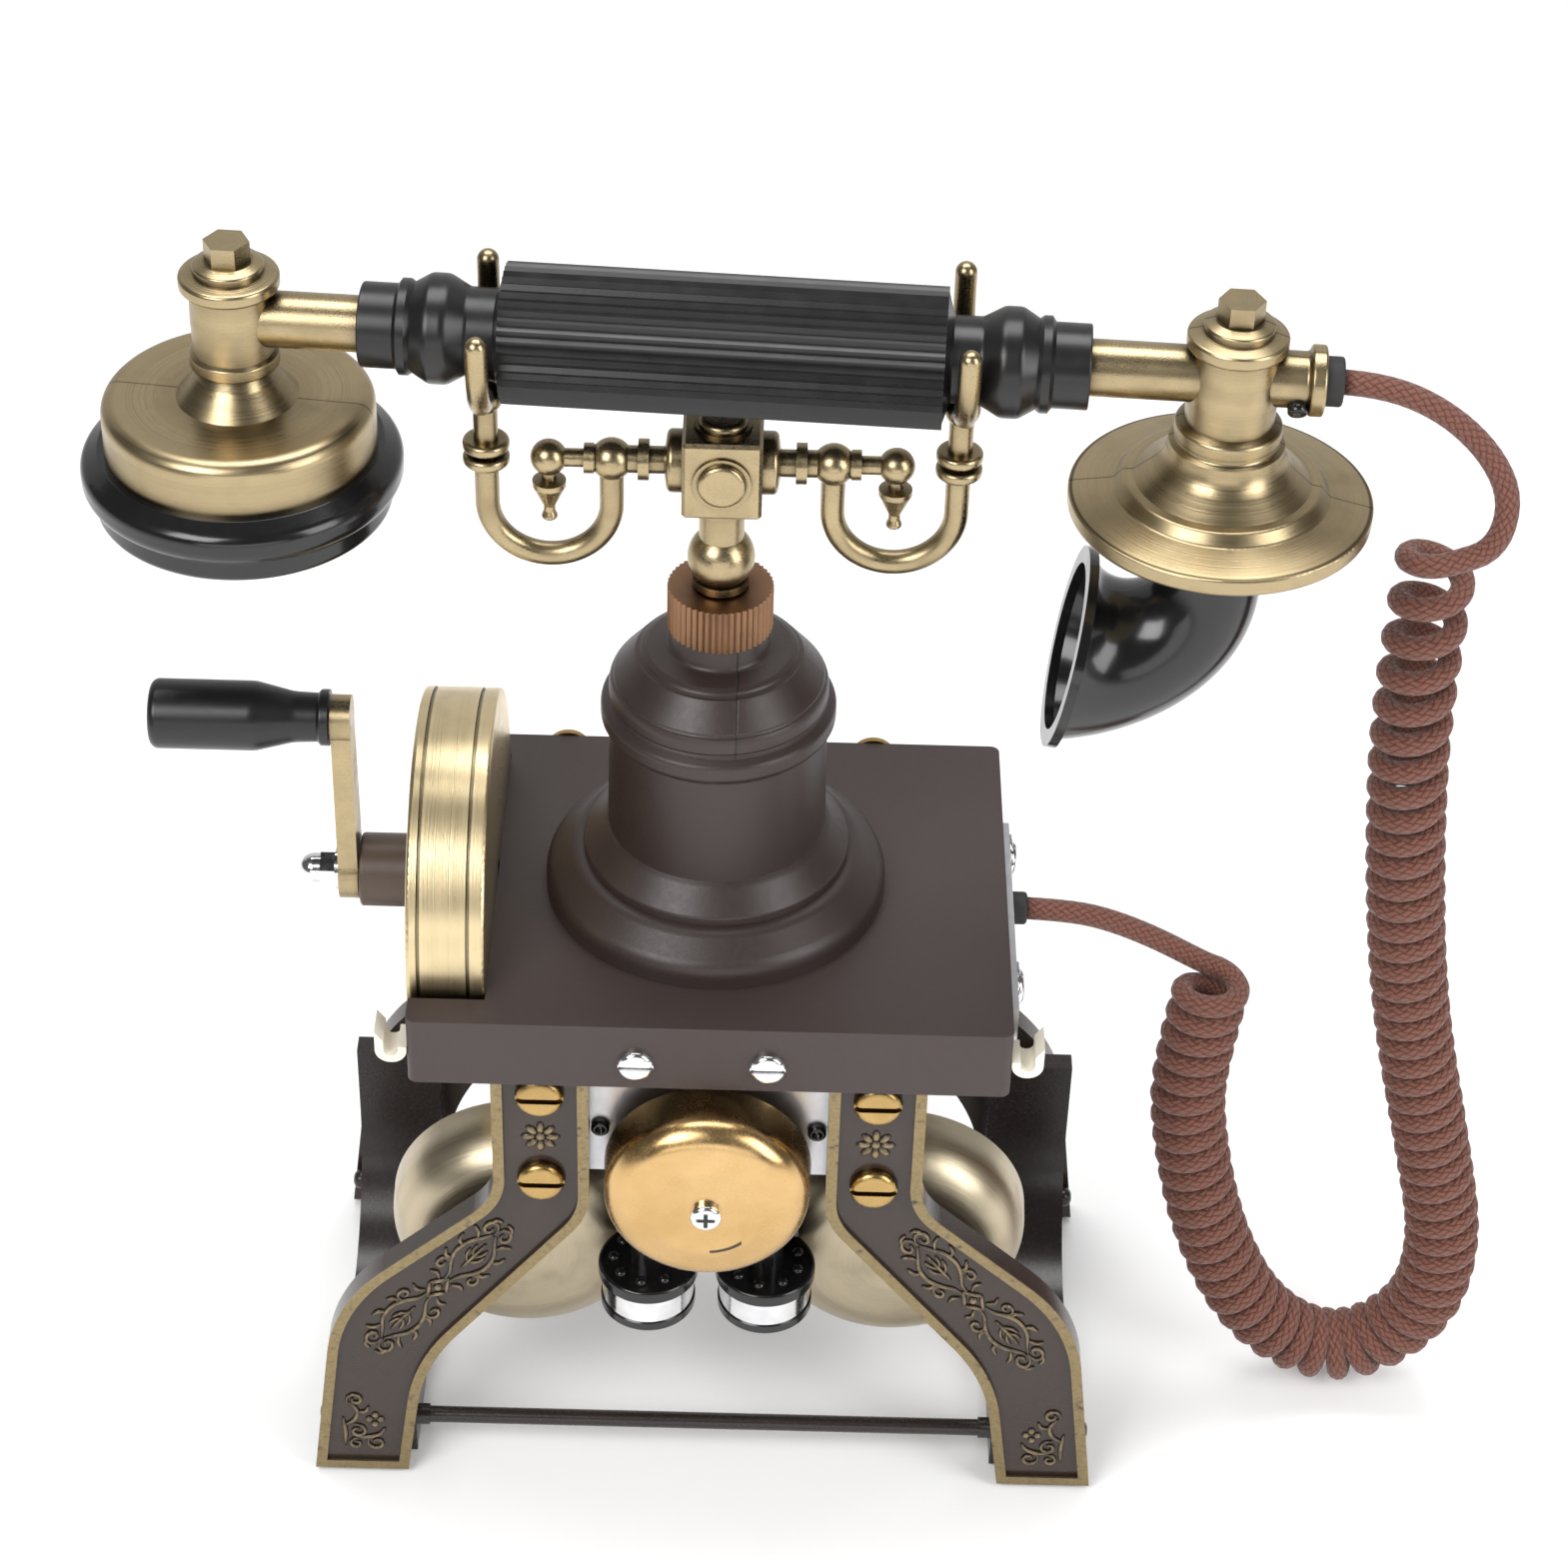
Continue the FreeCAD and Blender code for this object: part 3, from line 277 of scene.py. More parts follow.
def brass(name, colour, rough, axis=None, middle=(0.0, 0.0), patina_and_shade=0.8, seam=False, groove=None):
    """Brushed brass. With an axis, the brush marks and a groove run round it; patina fills the grooves, and
    painted shade darkens corners and the places under other parts.
    """
    look = Look(name)
    if axis is None:
        marks = look.noise(0.3, 3, (look.x * 0.3, look.y, look.z))
        broad = look.noise(6.0, 3)
    else:
        a, b, c = {
            "X": (look.y, look.z, look.x), "Y": (look.x, look.z, look.y), "Z": (look.x, look.y, look.z),
        }[axis]
        r = look.radius(a, b, middle)
        marks = look.noise(0.22, 3, (r, c, 0.0))
        broad = look.noise(3.0, 2, (r, c, 0.0))
    tone = look.mix((marks * 0.55 + broad * 0.45).span(0.35, 0.65), dimmed(colour, 0.84), colour)
    age = look.noise(9, 4).span(0.50, 0.78) * 0.35
    # painted shade: ambient occlusion over 12 mm darkens the brass under and between parts, besides the
    # patina in its grooves
    seams_patina_and_shade = look.patina_and_shade_mask(12.0) * patina_and_shade
    if seam:
        seams_patina_and_shade = seams_patina_and_shade + abs((look.x - middle[0]) * 0.12 + (look.y - middle[1])).below(0.16, 0.08) * 0.8
    if groove:
        seams_patina_and_shade = seams_patina_and_shade + abs(r - groove).below(0.28, 0.16) * 0.85
    worn = look.mix(age, tone, dimmed(colour, 0.45))
    look.put(Base_Color=look.mix(seams_patina_and_shade.span(0.0, 1.0), worn, dimmed(colour, 0.12)), Metallic=1.0)
    look.put(Roughness=marks.span(0.3, 0.7) * 0.10 + rough + age * 0.25)
    look.bump(marks, 0.02 if axis is None else 0.035)
    return look.material


def front_gong_look():
    """Polished gold brass with the narrow stamped slot low on its face; the slot is painted near black as
    the shade inside it.
    """
    slot_radius = 11.2
    slot_top = FRONT_GONG_Z - 4.0
    look = Look("gold_brass")
    r = look.radius(look.x, look.z, (0.0, FRONT_GONG_Z))
    wide = look.x.span(0.9, 1.1) * look.x.below(7.6, 0.1) * look.z.below(slot_top, 0.1)
    slot = abs(r - slot_radius).below(0.34, 0.08) * wide
    tone = look.mix(look.noise(10, 4).span(0.35, 0.7), (0.63, 0.42, 0.195), (0.545, 0.35, 0.148))
    # painted shade: the slot is coloured near black and not metallic, standing for the dark inside it
    look.put(Base_Color=look.mix(slot, tone, (0.03, 0.02, 0.01)), Metallic=1 - slot)
    scuffs = look.noise(0.5, 3).span(0.45, 0.75)
    look.put(Roughness=scuffs * 0.08 + look.noise(7, 3).span(0.4, 0.7) * 0.08 + 0.20)
    look.bump(1 - slot, 0.4)
    look.bump(look.noise(0.25, 2), 0.008)
    return look.material


def plated(name, rough):
    """Plated metal with fine marks, still without its colour."""
    look = Look(name)
    marks = look.noise(0.5, 3, (look.x, look.y * 0.15, look.z))
    look.put(Metallic=1.0, Roughness=marks.span(0.3, 0.7) * 0.10 + rough)
    look.bump(marks, 0.012)
    return look


def bright_metal(name, light, dark, rough):
    """Plated metal with faint stains."""
    look = plated(name, rough)
    look.put(Base_Color=look.mix(look.noise(4, 3).span(0.35, 0.7), light, dark))
    return look.material


def cross_screws():
    """Chrome heads with a sunk cross, on the three gongs; the cross is painted near black as the shade in
    it.
    """
    look = plated("chrome_cross", 0.10)
    cross = 0.0
    for x, z in ((0.0, FRONT_GONG_Z), (-GONG_X, GONG_Z), (GONG_X, GONG_Z)):
        across = abs(look.x - x)
        up = abs(look.z - z)
        cross = across.below(0.42, 0.08) * up.below(1.9, 0.2) + cross
        cross = up.below(0.42, 0.08) * across.below(1.9, 0.2) + cross
    cross = cross.span(0.0, 1.0)
    # painted shade: the sunk cross is coloured near black
    look.put(Base_Color=look.mix(cross, (0.82, 0.82, 0.83), (0.05, 0.05, 0.05)))
    look.bump(1 - cross, 0.5)
    return look.material


def plastic(name, colour, rough, coat=0.0):
    """Moulded plastic: tiny dents, a handling haze, and faint colour drift."""
    look = Look(name)
    look.put(Base_Color=look.mix(look.noise(12, 3), colour, dimmed(colour, 1.35)))
    look.put(Roughness=look.noise(6, 4).span(0.35, 0.75) * 0.08 + rough)
    look.put(Coat_Weight=coat, Coat_Roughness=0.06)
    look.bump(look.noise(0.35, 2), 0.008)
    return look.material


def braid_look():
    """Braided sleeve: strands wound both ways, over and under each other, with painted shade in the valleys
    between strands.
    """
    look = Look("cord_fabric")
    length, turn = look.split("UV", 2)
    right = ((turn * 10.0 + length * 2.1) * math.pi).sine()
    left = ((turn * 10.0 - length * 2.1) * math.pi).sine()
    over = (right * left).span(-0.12, 0.12)
    ridge = abs(right) * over + abs(left) * (1 - over)
    fibre = look.noise(0.22, 3)
    # painted shade: the colour is darker where the weave lies low, between the strands
    tone = look.mix(ridge.span(0.1, 0.8), (0.050, 0.0145, 0.0085), (0.172, 0.058, 0.036))
    look.put(Base_Color=look.mix(fibre.span(0.45, 0.75) * 0.3, tone, (0.23, 0.10, 0.068)))
    look.put(Roughness=0.75, Sheen_Weight=0.2, Sheen_Roughness=0.4)
    look.bump(ridge, 0.3)
    look.bump(fibre, 0.05)
    return look.material


BROWN = (0.041, 0.0265, 0.0235)
LEG_BROWN = (0.036, 0.0225, 0.0165)
ANTIQUE = (0.455, 0.36, 0.21)
GONG = (0.53, 0.455, 0.325)
ear_middle = on_handset(EAR_X, 0, 0) * 1000
mouth_middle = on_handset(MOUTH_X, 0, 0) * 1000
ear_axis = (ear_middle.x, ear_middle.y)
mouth_axis = (mouth_middle.x, mouth_middle.y)
cradle_brass = brass("cradle_brass", ANTIQUE, 0.24)
ear_turned = brass("ear_brass", ANTIQUE, 0.25, "Z", ear_axis, seam=True)
mouth_turned = brass("mouth_brass", ANTIQUE, 0.25, "Z", mouth_axis, seam=True, groove=29.6)
post_turned = brass("post_brass", ANTIQUE, 0.24, "Z", ear_axis)
drum_brass = brass("drum_brass", (0.79, 0.645, 0.39), 0.26, "X", (SHIFT_Y, PLATE_TOP), 0.9)
left_gong = brass("gong_left_brass", GONG, 0.27, "Y", (-GONG_X, GONG_Z), 0.4)
right_gong = brass("gong_right_brass", GONG, 0.27, "Y", (GONG_X, GONG_Z), 0.4)
screw_brass = brass("screw_brass", (0.52, 0.345, 0.135), 0.24, patina_and_shade=0.9)
bronze = brass("nut_bronze", (0.33, 0.185, 0.105), 0.34, patina_and_shade=0.9)
brown = lacquer("brown_lacquer", BROWN, dimmed(BROWN, 0.88), 0.42)
black_lacquer = lacquer("black_lacquer", (0.026, 0.019, 0.017), (0.017, 0.0125, 0.011), 0.22)
boss_look = lacquer("boss_lacquer", (0.085, 0.056, 0.040), (0.060, 0.040, 0.028), 0.34)
chrome = bright_metal("chrome", (0.86, 0.86, 0.87), (0.72, 0.72, 0.74), 0.08)
steel = bright_metal("zinc_steel", (0.58, 0.58, 0.60), (0.51, 0.51, 0.53), 0.28)
satin_black = plastic("satin_black", (0.0065, 0.006, 0.006), 0.29)
gloss_black = plastic("gloss_black", (0.005, 0.005, 0.0052), 0.17, 0.15)
ivory = plastic("ivory_moulding", (0.62, 0.58, 0.49), 0.32)
rubber = plastic("rubber_black", (0.014, 0.0135, 0.013), 0.62)

NODE_LOOKS = {
    brown: ["top_plate"],
    boss_look: ["crank_boss"],
    pedestal_look(): ["pedestal"],
    leg_look(): ["front_leg_right", "front_leg_left", "rear_leg_right", "rear_leg_left"],
    black_lacquer: ["side_sill_right", "side_sill_left", "stretcher_rods", "stretcher_nuts"],
    cradle_brass: [
        "cradle_stem", "cradle_block", "cradle_arm_right", "cradle_arm_left",
        "cradle_fork_right", "cradle_fork_left", "crank_arm",
    ],
    post_turned: ["handset_tubes", "post_nuts", "ear_post"],
    ear_turned: ["ear_dome"],
    mouth_turned: ["mouth_post", "mouth_disc"],
    drum_brass: ["wheel_drum"],
    front_gong_look(): ["front_gong"],
    left_gong: ["gong_left"],
    right_gong: ["gong_right"],
    screw_brass: ["leg_screws", "rear_lip_screws"],
    bronze: ["knurled_nut"],
    satin_black: ["handset_grip", "crank_grip", "handset_collar_right", "handset_collar_left"],
    gloss_black: ["ear_cap", "mouth_horn", "coil_bobbins", "ringer_base"],
    chrome: ["chrome_screws", "crank_nut", "coil_bands"],
    cross_screws(): ["gong_screws"],
    steel: [
        "cross_plate_front", "cross_plate_rear", "gong_bracket", "front_gong_post", "clapper",
        "clapper_pin", "hook_spring", "crank_shaft", "grip_pin", "cord_bracket",
    ],
    ivory: ["side_lugs"],
    rubber: ["foot_pads", "base_gland", "handset_gland"],
}
for material, names in NODE_LOOKS.items():
    for name in names:
        mesh = nodes[name].data
        mesh.materials.clear()
        mesh.materials.append(material)


# Added pieces
def finished(name, bm, material):
    """A smooth object from a bmesh, with its doubles merged and its faces turned outwards."""
    bmesh.ops.remove_doubles(bm, verts=bm.verts, dist=0.001 * MM)
    bmesh.ops.recalc_face_normals(bm, faces=bm.faces)
    for face in bm.faces:
        face.smooth = True
    mesh = bpy.data.meshes.new(name)
    bm.to_mesh(mesh)
    bm.free()
    mesh.materials.append(material)
    made = bpy.data.objects.new(name, mesh)
    bpy.context.scene.collection.objects.link(made)
    return made


def piece(name, bm, material, body):
    """A finished piece that rides on a body."""
    made = finished(name, bm, material)
    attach(made, body)


ARCH = [(-1, 0), (-0.72, 0.62), (0, 1), (0.72, 0.62), (1, 0)]
BEAD_TIP = 0.35          # the least share of its width that a bead keeps at its ends


def add_bead(bm, points, width):
    """A low rounded ridge along points, narrowed at its ends: an arch drawn out step by step."""
    last = len(points) - 1
    steps = []
    for i, (x, z) in enumerate(points):
        before = points[max(i - 1, 0)]
        after = points[min(i + 1, last)]
        turn = math.atan2(after[1] - before[1], after[0] - before[0])
        fade = BEAD_TIP + (1 - BEAD_TIP) * math.sin(math.pi * (0.12 + 0.76 * i / last))
        size = Matrix.Diagonal((1, width * fade, SCROLL_RISE * fade, 1))
        steps.append(Matrix.Translation((x, z, 0)) @ Matrix.Rotation(turn, 4, "Z") @ size)
    arch = [bm.verts.new(steps[0] @ Vector((0, across, rise))) for across, rise in ARCH]
    rim = list(bm.faces.new(arch).edges)
    for here, there in zip(steps, steps[1:]):
        drawn = bmesh.ops.extrude_edge_only(bm, edges=rim)["geom"]
        rim = [part for part in drawn if isinstance(part, bmesh.types.BMEdge) and part.is_boundary]
        fresh = [part for part in drawn if isinstance(part, bmesh.types.BMVert)]
        bmesh.ops.transform(bm, matrix=there @ here.inverted(), verts=fresh)
    bmesh.ops.contextual_create(bm, geom=rim)


def add_button(bm, x, z, radius, squash=1.0, turn=0.0):
    """A small raised dome, or petal when squashed; its lower half is sunk in the leg."""
    size = Matrix.Diagonal((radius, radius * squash, SCROLL_RISE, 1))
    spot = Matrix.Translation((x, z, 0)) @ Matrix.Rotation(turn, 4, "Z") @ size
    bmesh.ops.create_uvsphere(bm, u_segments=12, v_segments=6, radius=1.0, matrix=spot)


def smooth_run(points):
    """A smooth run through points."""
    steps = 4
    out = []
    count = len(points)
    for i in range(count - 1):
        p0, p1, p2, p3 = [Vector(points[min(max(k, 0), count - 1)]) for k in (i - 1, i, i + 1, i + 2)]
        for s in range(steps):
            t = s / steps
            out.append(0.5 * (2 * p1 + (p2 - p0) * t + (2 * p0 - 5 * p1 + 4 * p2 - p3) * t * t
                              + (3 * p1 - p0 - 3 * p2 + p3) * t ** 3))
    out.append(Vector(points[-1]))
    return [(p.x, p.y) for p in out]


def curl(middle, radius, start, turns):
    """Points of a spiral that closes in on its middle."""
    steps = 16
    run = []
    for i in range(steps + 1):
        t = i / steps
        a = math.radians(start) + 2 * math.pi * turns * t
        r = radius * (1 - 0.72 * t)
        run.append((middle[0] + r * math.cos(a), middle[1] + r * math.sin(a)))
    return run


# One half of the long scroll, along the leg and across it, in mm from its middle
VINE = [
    ([(2.6, 0.7), (5.0, 1.4), (7.6, 3.6), (10.6, 4.9), (14.0, 4.2), (16.6, 2.0), (18.6, 0.4)], 0.62),
    (curl((19.6, 2.4), 2.3, -110, 1.15), 0.55),
    (curl((6.0, 5.0), 1.9, -70, 1.1), 0.5),
    ([(8.4, 4.2), (8.2, 6.0), (9.6, 7.4)], 0.55),
    ([(12.6, 4.8), (13.2, 6.4), (15.0, 7.0)], 0.55),
    ([(15.8, 3.0), (17.4, 4.2), (18.2, 6.2)], 0.5),
    ([(9.6, 0.3), (11.0, 1.9), (12.8, 2.4)], 0.42),
    ([(11.6, 0.3), (12.8, 1.4), (14.4, 1.7)], 0.42),
    ([(20.8, 3.4), (22.2, 2.6), (22.6, 0.8)], 0.5),
    ([(0.0, 2.9), (1.4, 1.5), (3.3, 0.0)], 0.6),
    ([(2.2, 1.9), (3.2, 3.8), (2.6, 5.6)], 0.48),
]
MIDRIB = ([(7.4, 0.0), (11.0, 0.15), (15.6, 0.0)], 0.5)

# The small scroll above the foot, out from the leg's middle and up, in mm from its own middle
FOOT_SCROLL = [
    ([(4.2, -7.0), (4.0, -2.5), (4.4, 2.0)], 0.6),
    ([(4.2, -0.4), (1.8, 1.6), (1.0, 4.4), (2.6, 7.2)], 0.62),
    (curl((1.4, 8.2), 2.0, -30, 1.2), 0.52),
    ([(1.2, 4.0), (-0.8, 4.4), (-1.6, 6.0)], 0.5),
    (curl((1.2, -2.2), 2.1, 70, 1.15), 0.52),
    (curl((1.6, -6.4), 1.7, 120, -1.1), 0.5),
    (curl((-3.0, -6.0), 2.2, 60, -1.15), 0.52),
    ([(2.4, -3.6), (-0.6, -4.2), (-3.6, -3.2), (-5.0, -1.2)], 0.6),
]
FOOT_BERRIES = [(-2.8, 0.2), (-4.2, 1.8), (-1.6, 1.8), (-3.0, 3.2)]
VINE_MIDDLE = Vector((59.0, 60.6))
VINE_RUN = Vector((0.66, -0.751))
VINE_SIDE = Vector((0.751, 0.66))
VINE_BOW = 0.0035
FOOT_MIDDLE = Vector((77.6, 15.5))
ROSETTE_Z = 107.2
LEG_SCREW_X = 35.7


def along_vine(u, v):
    """A point of the long scroll, bowed as the leg is, from its place along and across it."""
    p = VINE_MIDDLE + VINE_RUN * (u * 1.12) + VINE_SIDE * (v * 0.84 - VINE_BOW * u * abs(u))
    return (p.x, p.y)


def flat_scroll():
    """Everything raised on one leg's field, laid flat: across the leg, up it and out of it, in mm."""
    bm = bmesh.new()
    for flip in (-1, 1):
        for across in (-1, 1):
            for points, width in VINE:
                add_bead(bm, [along_vine(flip * u, across * v) for u, v in smooth_run(points)], width)
        add_bead(bm, [along_vine(flip * u, v) for u, v in smooth_run(MIDRIB[0])], MIDRIB[1])
    add_button(bm, *along_vine(0, 0), 1.1)
    for points, width in FOOT_SCROLL:
        add_bead(bm, [(FOOT_MIDDLE.x + u, FOOT_MIDDLE.y + v) for u, v in smooth_run(points)], width)
    for u, v in FOOT_BERRIES:
        add_button(bm, FOOT_MIDDLE.x + u, FOOT_MIDDLE.y + v, 0.95)
    for i in range(8):
        a = i * math.pi / 4
        add_button(bm, LEG_SCREW_X + 2.6 * math.cos(a), ROSETTE_Z + 2.6 * math.sin(a), 1.7, 0.55, a)
    add_button(bm, LEG_SCREW_X, ROSETTE_Z, 1.2)
    return bm


def leg_scrolls():
    """Stands a copy of the flat scroll on each leg."""
    flat = flat_scroll()
    look = scroll_look()
    for side, hand in ((-1, "left"), (1, "right")):
        for out, end, field in ((-1, "front", -LEG_FIELD), (1, "rear", LEG_FIELD_REAR)):
            scroll = flat.copy()
            stand = Matrix(((side, 0, 0, 0), (0, 0, out, field), (0, 1, 0, 0), (0, 0, 0, 1)))
            bmesh.ops.transform(scroll, matrix=Matrix.Scale(MM, 4) @ stand, verts=scroll.verts)
            piece(f"leg_scroll_{end}_{hand}", scroll, look, "base")
    flat.free()


def add_turned(bm, profile, matrix, count):
    """Spins (radius, height) points, in mm, round the Z axis of a matrix."""
    line = [bm.verts.new(matrix @ Vector((r * MM, 0, h * MM))) for r, h in profile]
    edges = [bm.edges.new(pair) for pair in zip(line, line[1:])]
    bmesh.ops.spin(
        bm, geom=line + edges, cent=matrix.translation, axis=matrix.col[2].xyz, angle=2 * math.pi,
        steps=count, use_merge=True,
    )


def aimed(point, axis):
    """A matrix at a point whose Z lies along an axis."""
    return Matrix.Translation(point) @ Vector((0, 0, 1)).rotation_difference(axis).to_matrix().to_4x4()


def coil_studs():
    """The ring of winding posts on each bobbin's flange."""
    bm = bmesh.new()
    dome = [(0, 0), (1.35, 0), (1.35, 0.5), (1.1, 0.95), (0.55, 1.2), (0, 1.25)]
    for x in (-BOBBIN_X, BOBBIN_X):
        for i in range(STUDS):
            a = 2 * math.pi * (i + 0.5) / STUDS
            spot = place(x + STUD_RING * math.cos(a), BOBBIN_Y + STUD_RING * math.sin(a), BOBBIN_TOP)
            add_turned(bm, dome, Matrix.Translation(spot), 14)
    piece("coil_studs", bm, gloss_black, "base")


def star_washers():
    """Toothed washers under the two chrome screws of the cord bracket."""
    bm = bmesh.new()
    for y in BRACKET_SCREWS_Y:
        teeth = bmesh.ops.create_circle(bm, segments=32, radius=4.6 * MM)["verts"]
        bmesh.ops.scale(bm, vec=(1.17, 1.17, 1.0), verts=teeth[::2])
        hole = bmesh.ops.create_circle(bm, segments=32, radius=3.9 * MM)["verts"]
        rims = list({edge for v in teeth + hole for edge in v.link_edges})
        flat = bmesh.ops.bridge_loops(bm, edges=rims)["faces"]
        raised = bmesh.ops.extrude_face_region(bm, geom=flat)["geom"]
        top = [part for part in raised if isinstance(part, bmesh.types.BMVert)]
        bmesh.ops.translate(bm, vec=(0, 0, 0.58 * MM), verts=top)
        seat = aimed(place(BRACKET_FACE_X, y, PLATE_TOP - 8), Vector((1, 0, 0)))
        bmesh.ops.transform(bm, matrix=seat, verts=teeth + hole + top)
    piece("star_washers", bm, chrome, "base")


def socket_screws():
    """Black screws with a sunk socket: two on the front cross plate."""
    bm = bmesh.new()
    head = [(0, 0.5), (0.9, 0.5), (1.0, 1.5), (1.7, 1.5), (2.0, 1.1), (2.0, 0.0), (0, 0)]
    for x in (-PLATE_SCREW_X, PLATE_SCREW_X):
        seat = aimed(place(x, CROSS_PLATE_FACE, PLATE_SCREW_Z), Vector((0, -1, 0)))
        add_turned(bm, head, seat, 20)
    piece("plate_screws", bm, gloss_black, "base")


def set_screw():
    """The small black screw that holds the cord in the handset's stub."""
    bm = bmesh.new()
    lean = Vector((0.0, -0.82, -0.57))
    spot = on_handset(MOUTH_X + 12.4, -5.5 * 0.82, -5.5 * 0.57)
    head = [(0, 0.6), (0.8, 0.6), (0.9, 1.9), (1.7, 1.9), (2.0, 1.5), (2.0, -0.4), (0, -0.4)]
    add_turned(bm, head, aimed(spot, lean), 20)
    piece("set_screw", bm, gloss_black, "handset")


leg_scrolls()
coil_studs()
star_washers()
socket_screws()
set_screw()

# The curly cord
CORD_D = 5.0
CURL_R = 6.2
CURLS = 61.57
CURL_START = 77.0        # degrees round the first curl, so that it leads on from the handset's end
PER_TURN = 14
OPEN_SHARE = 0.07        # the share of the route that opens the first curls
OPEN_FADE = 14
CURL_ROUTE = [
    (143.5, -6, 238), (142.5, -6, 204), (146, -6, 162), (152.5, -6.5, 117), (163.5, -7.5, 74),
    (170, -9, 46), (167, -9, 22), (149, -9, 8), (129, -9, 19), (115, -8, 46),
    (107, -5, 80), (107, -4, 98), (110, -2, 118),
]
HANDSET_LEAD = [
    (119.6, -7.3, 276.7), (128, -7.8, 276.5), (140, -7.6, 271), (150, -8, 262), (155.5, -9.5, 252),
    (153.5, -12, 241.5),
]
BASE_LEAD = [(97, 3.8, 125), (86, 2.6, 131), (77, 2, 133.6), (68, 2, 134)]


def spline_points(name, points, resolution):
    """The smooth line of a NURBS spline whose control points are given, in metres."""
    curve = bpy.data.curves.new(name, "CURVE")
    curve.dimensions = "3D"
    spline = curve.splines.new("NURBS")
    spline.points.add(len(points) - 1)
    for point, spot in zip(spline.points, points):
        point.co = (*spot, 1.0)
    spline.order_u = 3
    spline.use_endpoint_u = True
    spline.resolution_u = resolution
    holder = bpy.data.objects.new(name, curve)
    bpy.context.scene.collection.objects.link(holder)
    bpy.context.view_layer.update()
    mesh = bpy.data.meshes.new_from_object(holder.evaluated_get(bpy.context.evaluated_depsgraph_get()))
    line = [v.co.copy() for v in mesh.vertices]
    bpy.data.objects.remove(holder)
    bpy.data.curves.remove(curve)
    bpy.data.meshes.remove(mesh)
    return line


def at_length(line, lengths, wanted):
    """The point of a line at a length along it."""
    low = 0
    high = len(lengths) - 1
    while high - low > 1:
        middle = (low + high) // 2
        if lengths[middle] <= wanted:
            low = middle
        else:
            high = middle
    t = (wanted - lengths[low]) / (lengths[high] - lengths[low])
    return line[low].lerp(line[high], t)


def running_length(line):
    """The length along a line at each of its points."""
    lengths = [0.0]
    for a, b in zip(line, line[1:]):
        lengths.append(lengths[-1] + (b - a).length)
    return lengths


def helix(line):
    """Points wound round a line; the first curls at the handset's end stand a little apart."""
    lengths = running_length(line)
    steps = round(CURLS * PER_TURN)
    places = []
    for i in range(steps + 1):
        f = i / steps
        opened = 1 - (1 - f) ** OPEN_FADE
        places.append(at_length(line, lengths, lengths[-1] * ((1 - OPEN_SHARE) * f + OPEN_SHARE * opened)))
    side = Vector((1, 0, 0))
    wound = []
    for i, spot in enumerate(places):
        ahead = (places[min(i + 1, steps)] - places[max(i - 1, 0)]).normalized()
        side = (side - ahead * side.dot(ahead)).normalized()
        a = math.radians(CURL_START) + 2 * math.pi * i / PER_TURN
        wound.append(spot + (side * math.cos(a) + ahead.cross(side) * math.sin(a)) * (CURL_R * MM))
    return wound


def tube(name, line, radius, material):
    """A round tube along a line, with its length and its turn as UV, counted in diameters."""
    bm = bmesh.new()
    uv = bm.loops.layers.uv.new("UVMap")
    around = 12
    lengths = running_length(line)
    side = Vector((0, 1, 0))
    rings = []
    for i, spot in enumerate(line):
        ahead = (line[min(i + 1, len(line) - 1)] - line[max(i - 1, 0)]).normalized()
        side = (side - ahead * side.dot(ahead)).normalized()
        other = ahead.cross(side)
        ring = []
        for k in range(around):
            a = 2 * math.pi * k / around
            ring.append(bm.verts.new(spot + (side * math.cos(a) + other * math.sin(a)) * radius))
        rings.append(ring)
    for i in range(len(rings) - 1):
        for k in range(around):
            n = (k + 1) % around
            face = bm.faces.new((rings[i][k], rings[i][n], rings[i + 1][n], rings[i + 1][k]))
            ends = ((i, k), (i, k + 1), (i + 1, k + 1), (i + 1, k))
            for loop, (row, turn) in zip(face.loops, ends):
                loop[uv].uv = (lengths[row] / (2 * radius), turn / around)
    bm.faces.new(rings[0])
    bm.faces.new(rings[-1])
    return finished(name, bm, material)


route = spline_points("cord_route", [place(*p) for p in CURL_ROUTE], 24)
lead_in = [place(*p) for p in HANDSET_LEAD]
lead_out = [place(*p) for p in BASE_LEAD]
cord_line = spline_points("cord_line", lead_in + helix(route) + lead_out, 5)
cord_line.reverse()
cord = tube("cord_curls", cord_line, CORD_D / 2 * MM, braid_look())
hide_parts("cord")
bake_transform(cord)


# Floor, light and camera
def floor():
    """A floor that bends up into the backdrop."""
    bm = bmesh.new()
    ends = [bm.verts.new((x, -2.5, 0.0)) for x in (-4.0, 4.0)]
    rims = [bm.edges.new(ends)]
    for move in ((0.0, 4.7, 0.0), (0.0, 0.0, 2.6)):
        drawn = bmesh.ops.extrude_edge_only(bm, edges=rims[-1:])["geom"]
        ends = [part for part in drawn if isinstance(part, bmesh.types.BMVert)]
        bmesh.ops.translate(bm, vec=move, verts=ends)
        rims.append(next(edge for edge in ends[0].link_edges if ends[1] in edge.verts))
    bmesh.ops.bevel(
        bm, geom=[rims[1]], offset=0.6, segments=12, profile=0.5, affect="EDGES", material=-1,
    )
    look = Look("floor_white")
    look.put(Base_Color=look.mix(look.noise(300, 2), (0.93, 0.93, 0.93), (0.95, 0.95, 0.95)), Roughness=0.9)
    look.put(Specular_IOR_Level=0.1)
    finished("floor", bm, look.material)


AIM = Vector((0.02, 0.0, 0.15))


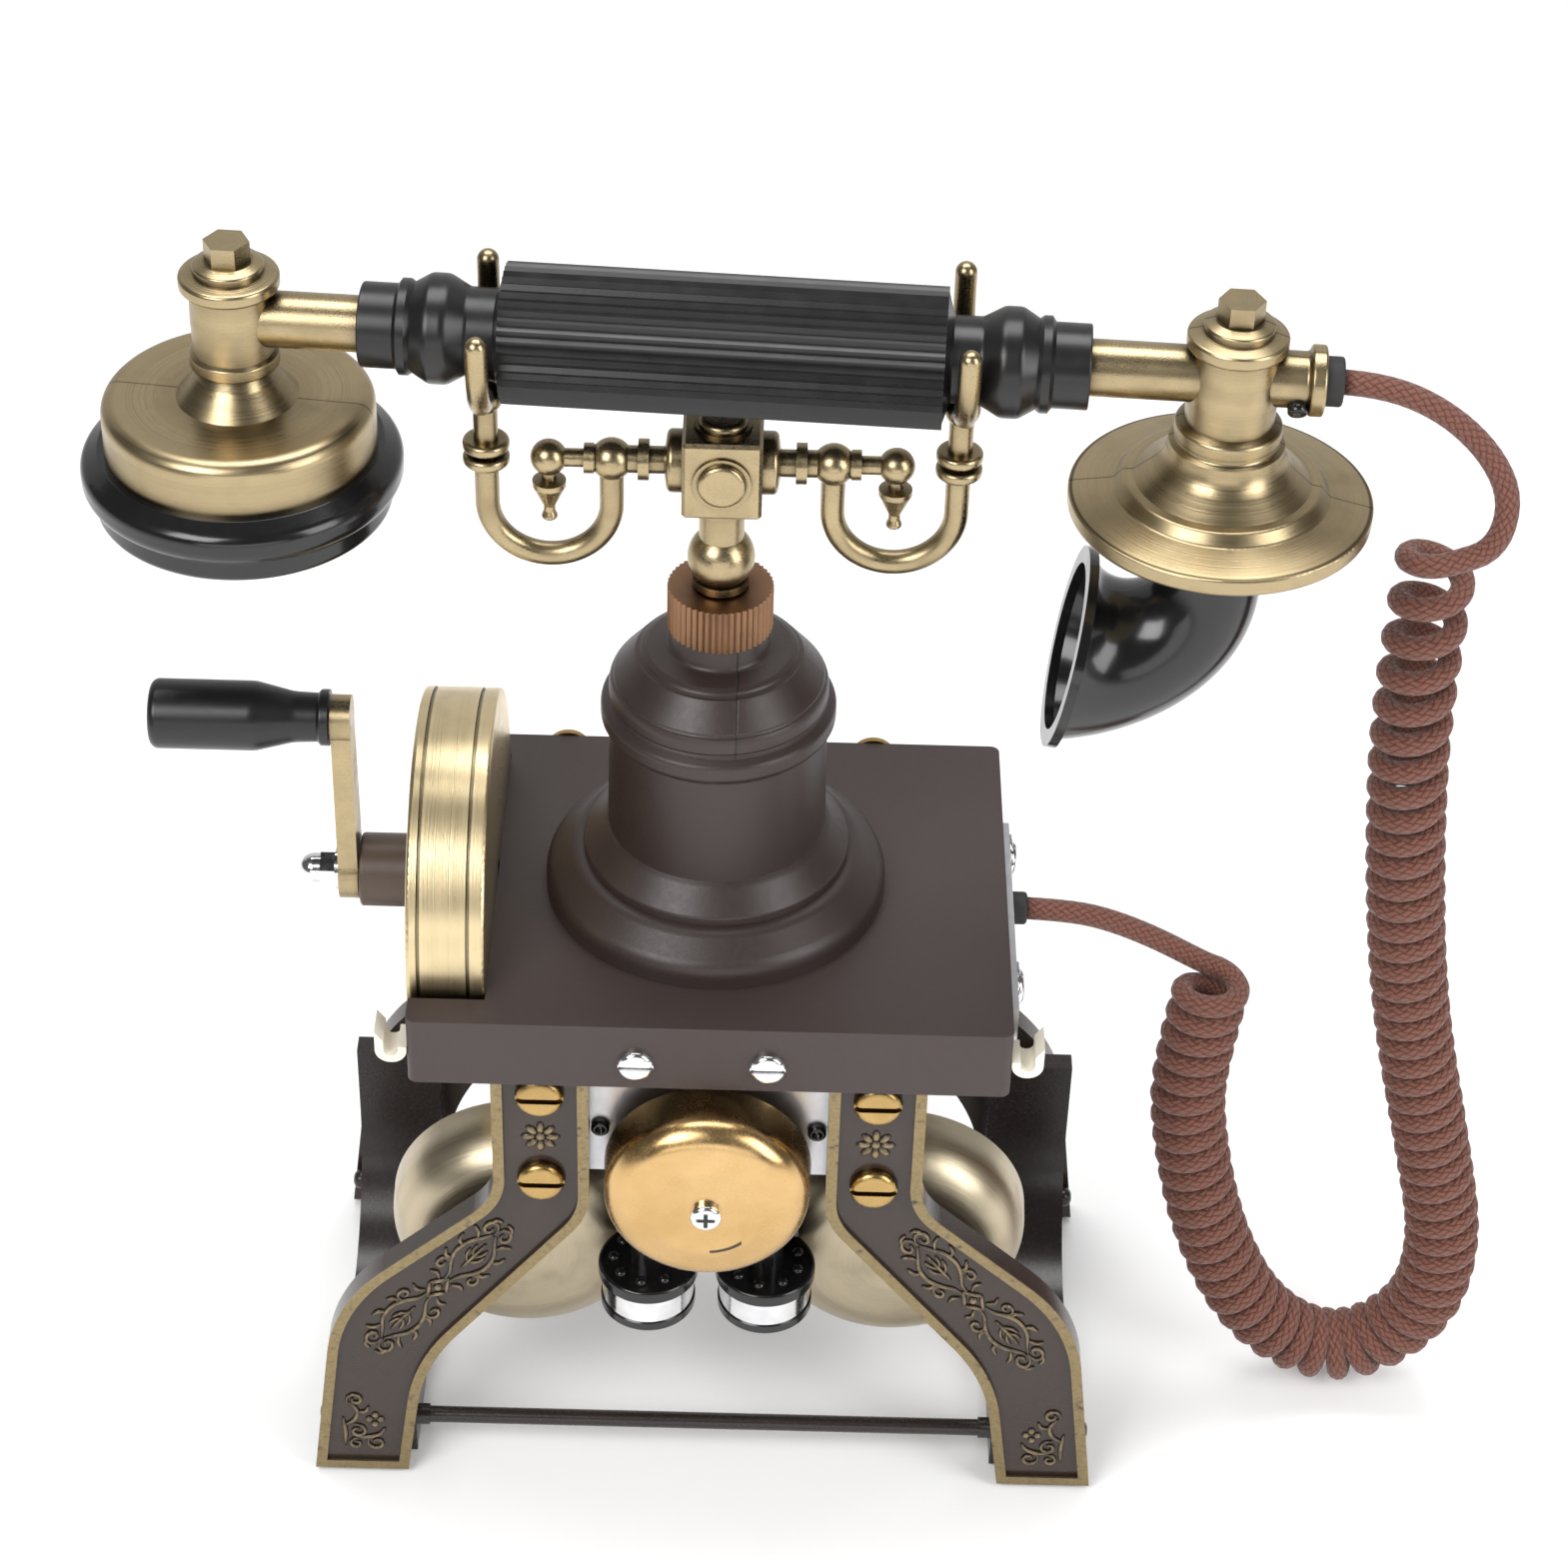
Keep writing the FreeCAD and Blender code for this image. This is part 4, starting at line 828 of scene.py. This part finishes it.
def softbox(name, spot, size, power):
    """A soft rectangular lamp at a spot, turned to the telephone."""
    light = bpy.data.lights.new(name, "AREA")
    light.shape = "RECTANGLE"
    light.size = size[0]
    light.size_y = size[1]
    light.energy = power
    made = bpy.data.objects.new(name, light)
    made.location = spot
    made.rotation_euler = (AIM - Vector(spot)).to_track_quat("-Z", "Y").to_euler()
    bpy.context.scene.collection.objects.link(made)


def backdrop_light():
    """Soft white surroundings; shiny pieces see them dimmer, so the softboxes stand out."""
    world = bpy.data.worlds.new("studio")
    bpy.context.scene.world = world
    world.use_nodes = True
    around = Nodes(world.node_tree)
    back = world.node_tree.nodes["Background"]
    shiny = around.add("ShaderNodeLightPath", {}, {}, "Is Glossy Ray")
    around.feed(back.inputs["Color"], (1.0, 1.0, 1.0))
    around.feed(back.inputs["Strength"], 0.5 - shiny * 0.38)


floor()
backdrop_light()
softbox("key", (-0.55, -0.75, 0.95), (0.6, 0.6), 9.0)
softbox("fill", (0.85, -0.55, 0.60), (0.45, 0.8), 6.0)
softbox("top", (0.0, 0.25, 1.15), (0.9, 0.5), 8.0)
softbox("low_front", (0.0, -1.1, 0.25), (1.2, 0.3), 2.0)

# The camera's angles are in radians, its distance in metres
PITCH = 0.67
YAW = 0.008
ROLL = 0.031
FOCAL_LENGTH = 86.56
DISTANCE = 0.80002
TARGET = place(14.144, 0, 168.38)
ahead = Vector((math.sin(YAW) * math.cos(PITCH), math.cos(YAW) * math.cos(PITCH), -math.sin(PITCH)))
level = Vector((math.cos(YAW), -math.sin(YAW), 0))
up = level.cross(ahead)
right = level * math.cos(ROLL) + up * math.sin(ROLL)
upright = up * math.cos(ROLL) - level * math.sin(ROLL)
lens = bpy.data.cameras.new("camera")
lens.sensor_width = 36.0
lens.lens = FOCAL_LENGTH
lens.clip_start = 0.05
camera = bpy.data.objects.new("camera", lens)
pose = Matrix((right, upright, -ahead)).transposed().to_4x4()
pose.translation = TARGET - ahead * DISTANCE
camera.matrix_world = pose
bpy.context.scene.collection.objects.link(camera)
bpy.context.scene.camera = camera
bpy.context.scene.view_settings.view_transform = "Standard"

bpy.context.view_layer.update()
